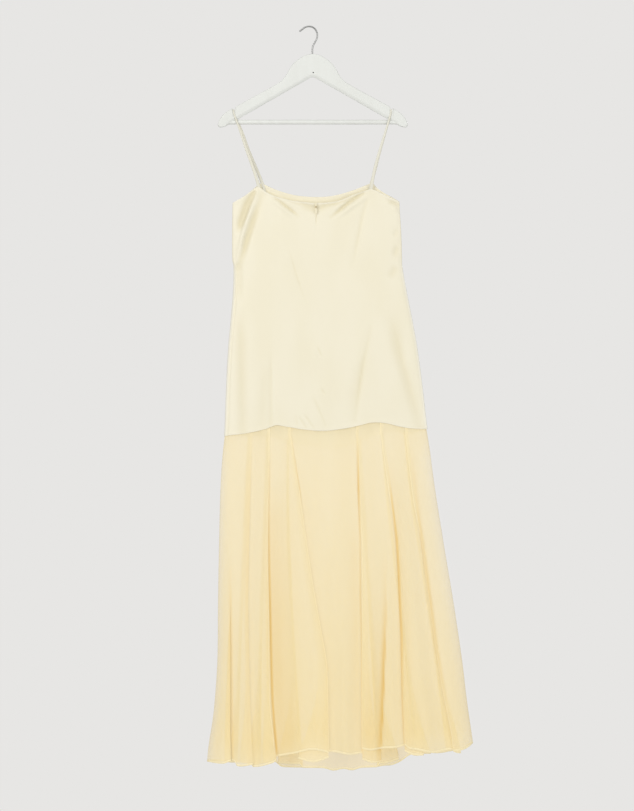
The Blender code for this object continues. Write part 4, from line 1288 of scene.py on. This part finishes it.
def makeBar():
    # "rings" are places along the bar and the share of its radius there; its ends are rounded
    rings = []
    for share, thin in bar["rings"]:
        x, radius = hanger["x"] - bar["half"] + 2 * bar["half"] * share, bar["radius"] * thin
        rings.append([Vector((x, math.cos(a) * radius, -bar["drop"] + math.sin(a) * radius))
                      for a in np.linspace(0, 2 * math.pi, 33)[:-1]])
    obj = skinMesh("trouser_bar", rings, paint)
    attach(obj, "dress")
    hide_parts("hanger_bar")


hook = {
    "wire": 1.85,
    "tip": (0.55, 0.85, 0.97),  # the wire's thickness at its rounded end
    "route": ((-23.5, 9.9), (-17.3, 5.4), (-9.7, -0.1), (-0.5, -1.9), (8.5, 0.6), (15.2, 7.8), (17.9, 17.7),
              (16.2, 27.6), (11.6, 35.9), (8.0, 43.0), (6.6, 50.5), (6.5, 62.0), (6.5, 76.0)),
}


def makeHook():
    points = alongCurve(hook["route"], 120)
    curve = bpy.data.curves.new("hook", "CURVE")
    curve.dimensions = "3D"
    curve.bevel_depth = hook["wire"] * mm
    curve.bevel_resolution = 6
    curve.use_fill_caps = True
    spline = curve.splines.new("POLY")
    spline.points.add(len(points) - 1)
    for i, (point, (x, drop)) in enumerate(zip(spline.points, points)):
        point.co = (x * mm, 0, -drop * mm, 1)
        point.radius = hook["tip"][i] if i < len(hook["tip"]) else 1.0
    curve.materials.append(chrome)
    obj = newObject("hook", curve)
    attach(obj, "dress")
    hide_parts("hanger_hook")


makeBoard()
makeBar()
makeHook()

# The zip's own metal keeps the CAD shape
for node in ("zip_slider", "zip_pull_tab"):
    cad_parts[node].data.materials.clear()
    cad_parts[node].data.materials.append(zipMetal)
print("hanger, hook and zip ready")


# Stage, light and camera
stage = {
    "radius": 1.7,
    "height": -2.2,
    "floor": ((0.78, 0.775, 0.765, 1), (0.80, 0.795, 0.785, 1)),
    "drift": {"Size": 3.0, "Stretch": 1.0},
    "backdrop": (0.799, 0.791, 0.776, 1),
    "surround": (0.44, 0.44, 0.44, 1),  # what lights the dress from all around
}
lights = (
    # name, place, target, size, power, colour
    ("key", (-3.2, -4.8, 0.6), (0, 0, -0.85), 3.2, 128.5, (1.0, 0.99, 0.97)),
    ("fill", (3.4, -4.4, -0.8), (0, 0, -0.9), 3.2, 84.5, (0.98, 0.99, 1.0)),
    ("above", (-0.4, -2.0, 2.4), (0, 0, -0.4), 2.0, 18.0, (1.0, 0.99, 0.98)),
    ("behind", (1.8, 3.6, 0.6), (0, 0, -0.9), 2.4, 87.0, (1.0, 0.99, 0.98)),
)


def makeStage():
    mesh = bpy.data.meshes.new("floor")
    bm = bmesh.new()
    bmesh.ops.create_circle(bm, cap_ends=True, segments=96, radius=stage["radius"])
    bm.to_mesh(mesh)
    bm.free()
    floor = newObject("floor", mesh)
    floor.location.z = stage["height"]
    material, tree, shader, where = newMaterial("floor", {"Roughness": 0.9})
    tone = addGroup(tree, drift, Vector=where, **stage["drift"])
    tree.links.new(mixColours(tree, tone["Tone"], *stage["floor"]), shader.inputs["Base Color"])
    mesh.materials.append(material)

    world = bpy.data.worlds.new("studio")
    world.use_nodes = True
    tree = world.node_tree
    seen = addNode(tree, "ShaderNodeLightPath").outputs["Is Camera Ray"]
    colour = mixColours(tree, seen, stage["surround"], stage["backdrop"])
    tree.links.new(colour, tree.nodes["Background"].inputs["Color"])
    bpy.context.scene.world = world


def areaLight(name, place, target, size, power, colour):
    light = bpy.data.lights.new(name, "AREA")
    light.shape = "SQUARE"
    light.size = size
    light.energy = power
    light.color = colour
    obj = newObject(name, light)
    obj.location = place
    obj.rotation_mode = "QUATERNION"
    obj.rotation_quaternion = (Vector(target) - Vector(place)).to_track_quat("-Z", "Y")
    obj.visible_glossy = place[1] < 0  # the light behind leaves no sparkle on edges


def makeCamera():
    data = bpy.data.cameras.new("camera")
    data.sensor_width = 36.0
    data.lens = 231.6  # sees 1.865 m from top to bottom at 12 m
    camera = newObject("camera", data)
    camera.location = (0.01725, -12.0, -0.8699)
    camera.rotation_euler = (math.radians(90), 0, 0)
    data.clip_end = 100.0
    bpy.context.scene.camera = camera


makeStage()
for light in lights:
    areaLight(*light)
makeCamera()
bpy.context.scene.view_settings.view_transform = "Standard"

print("scene ready")
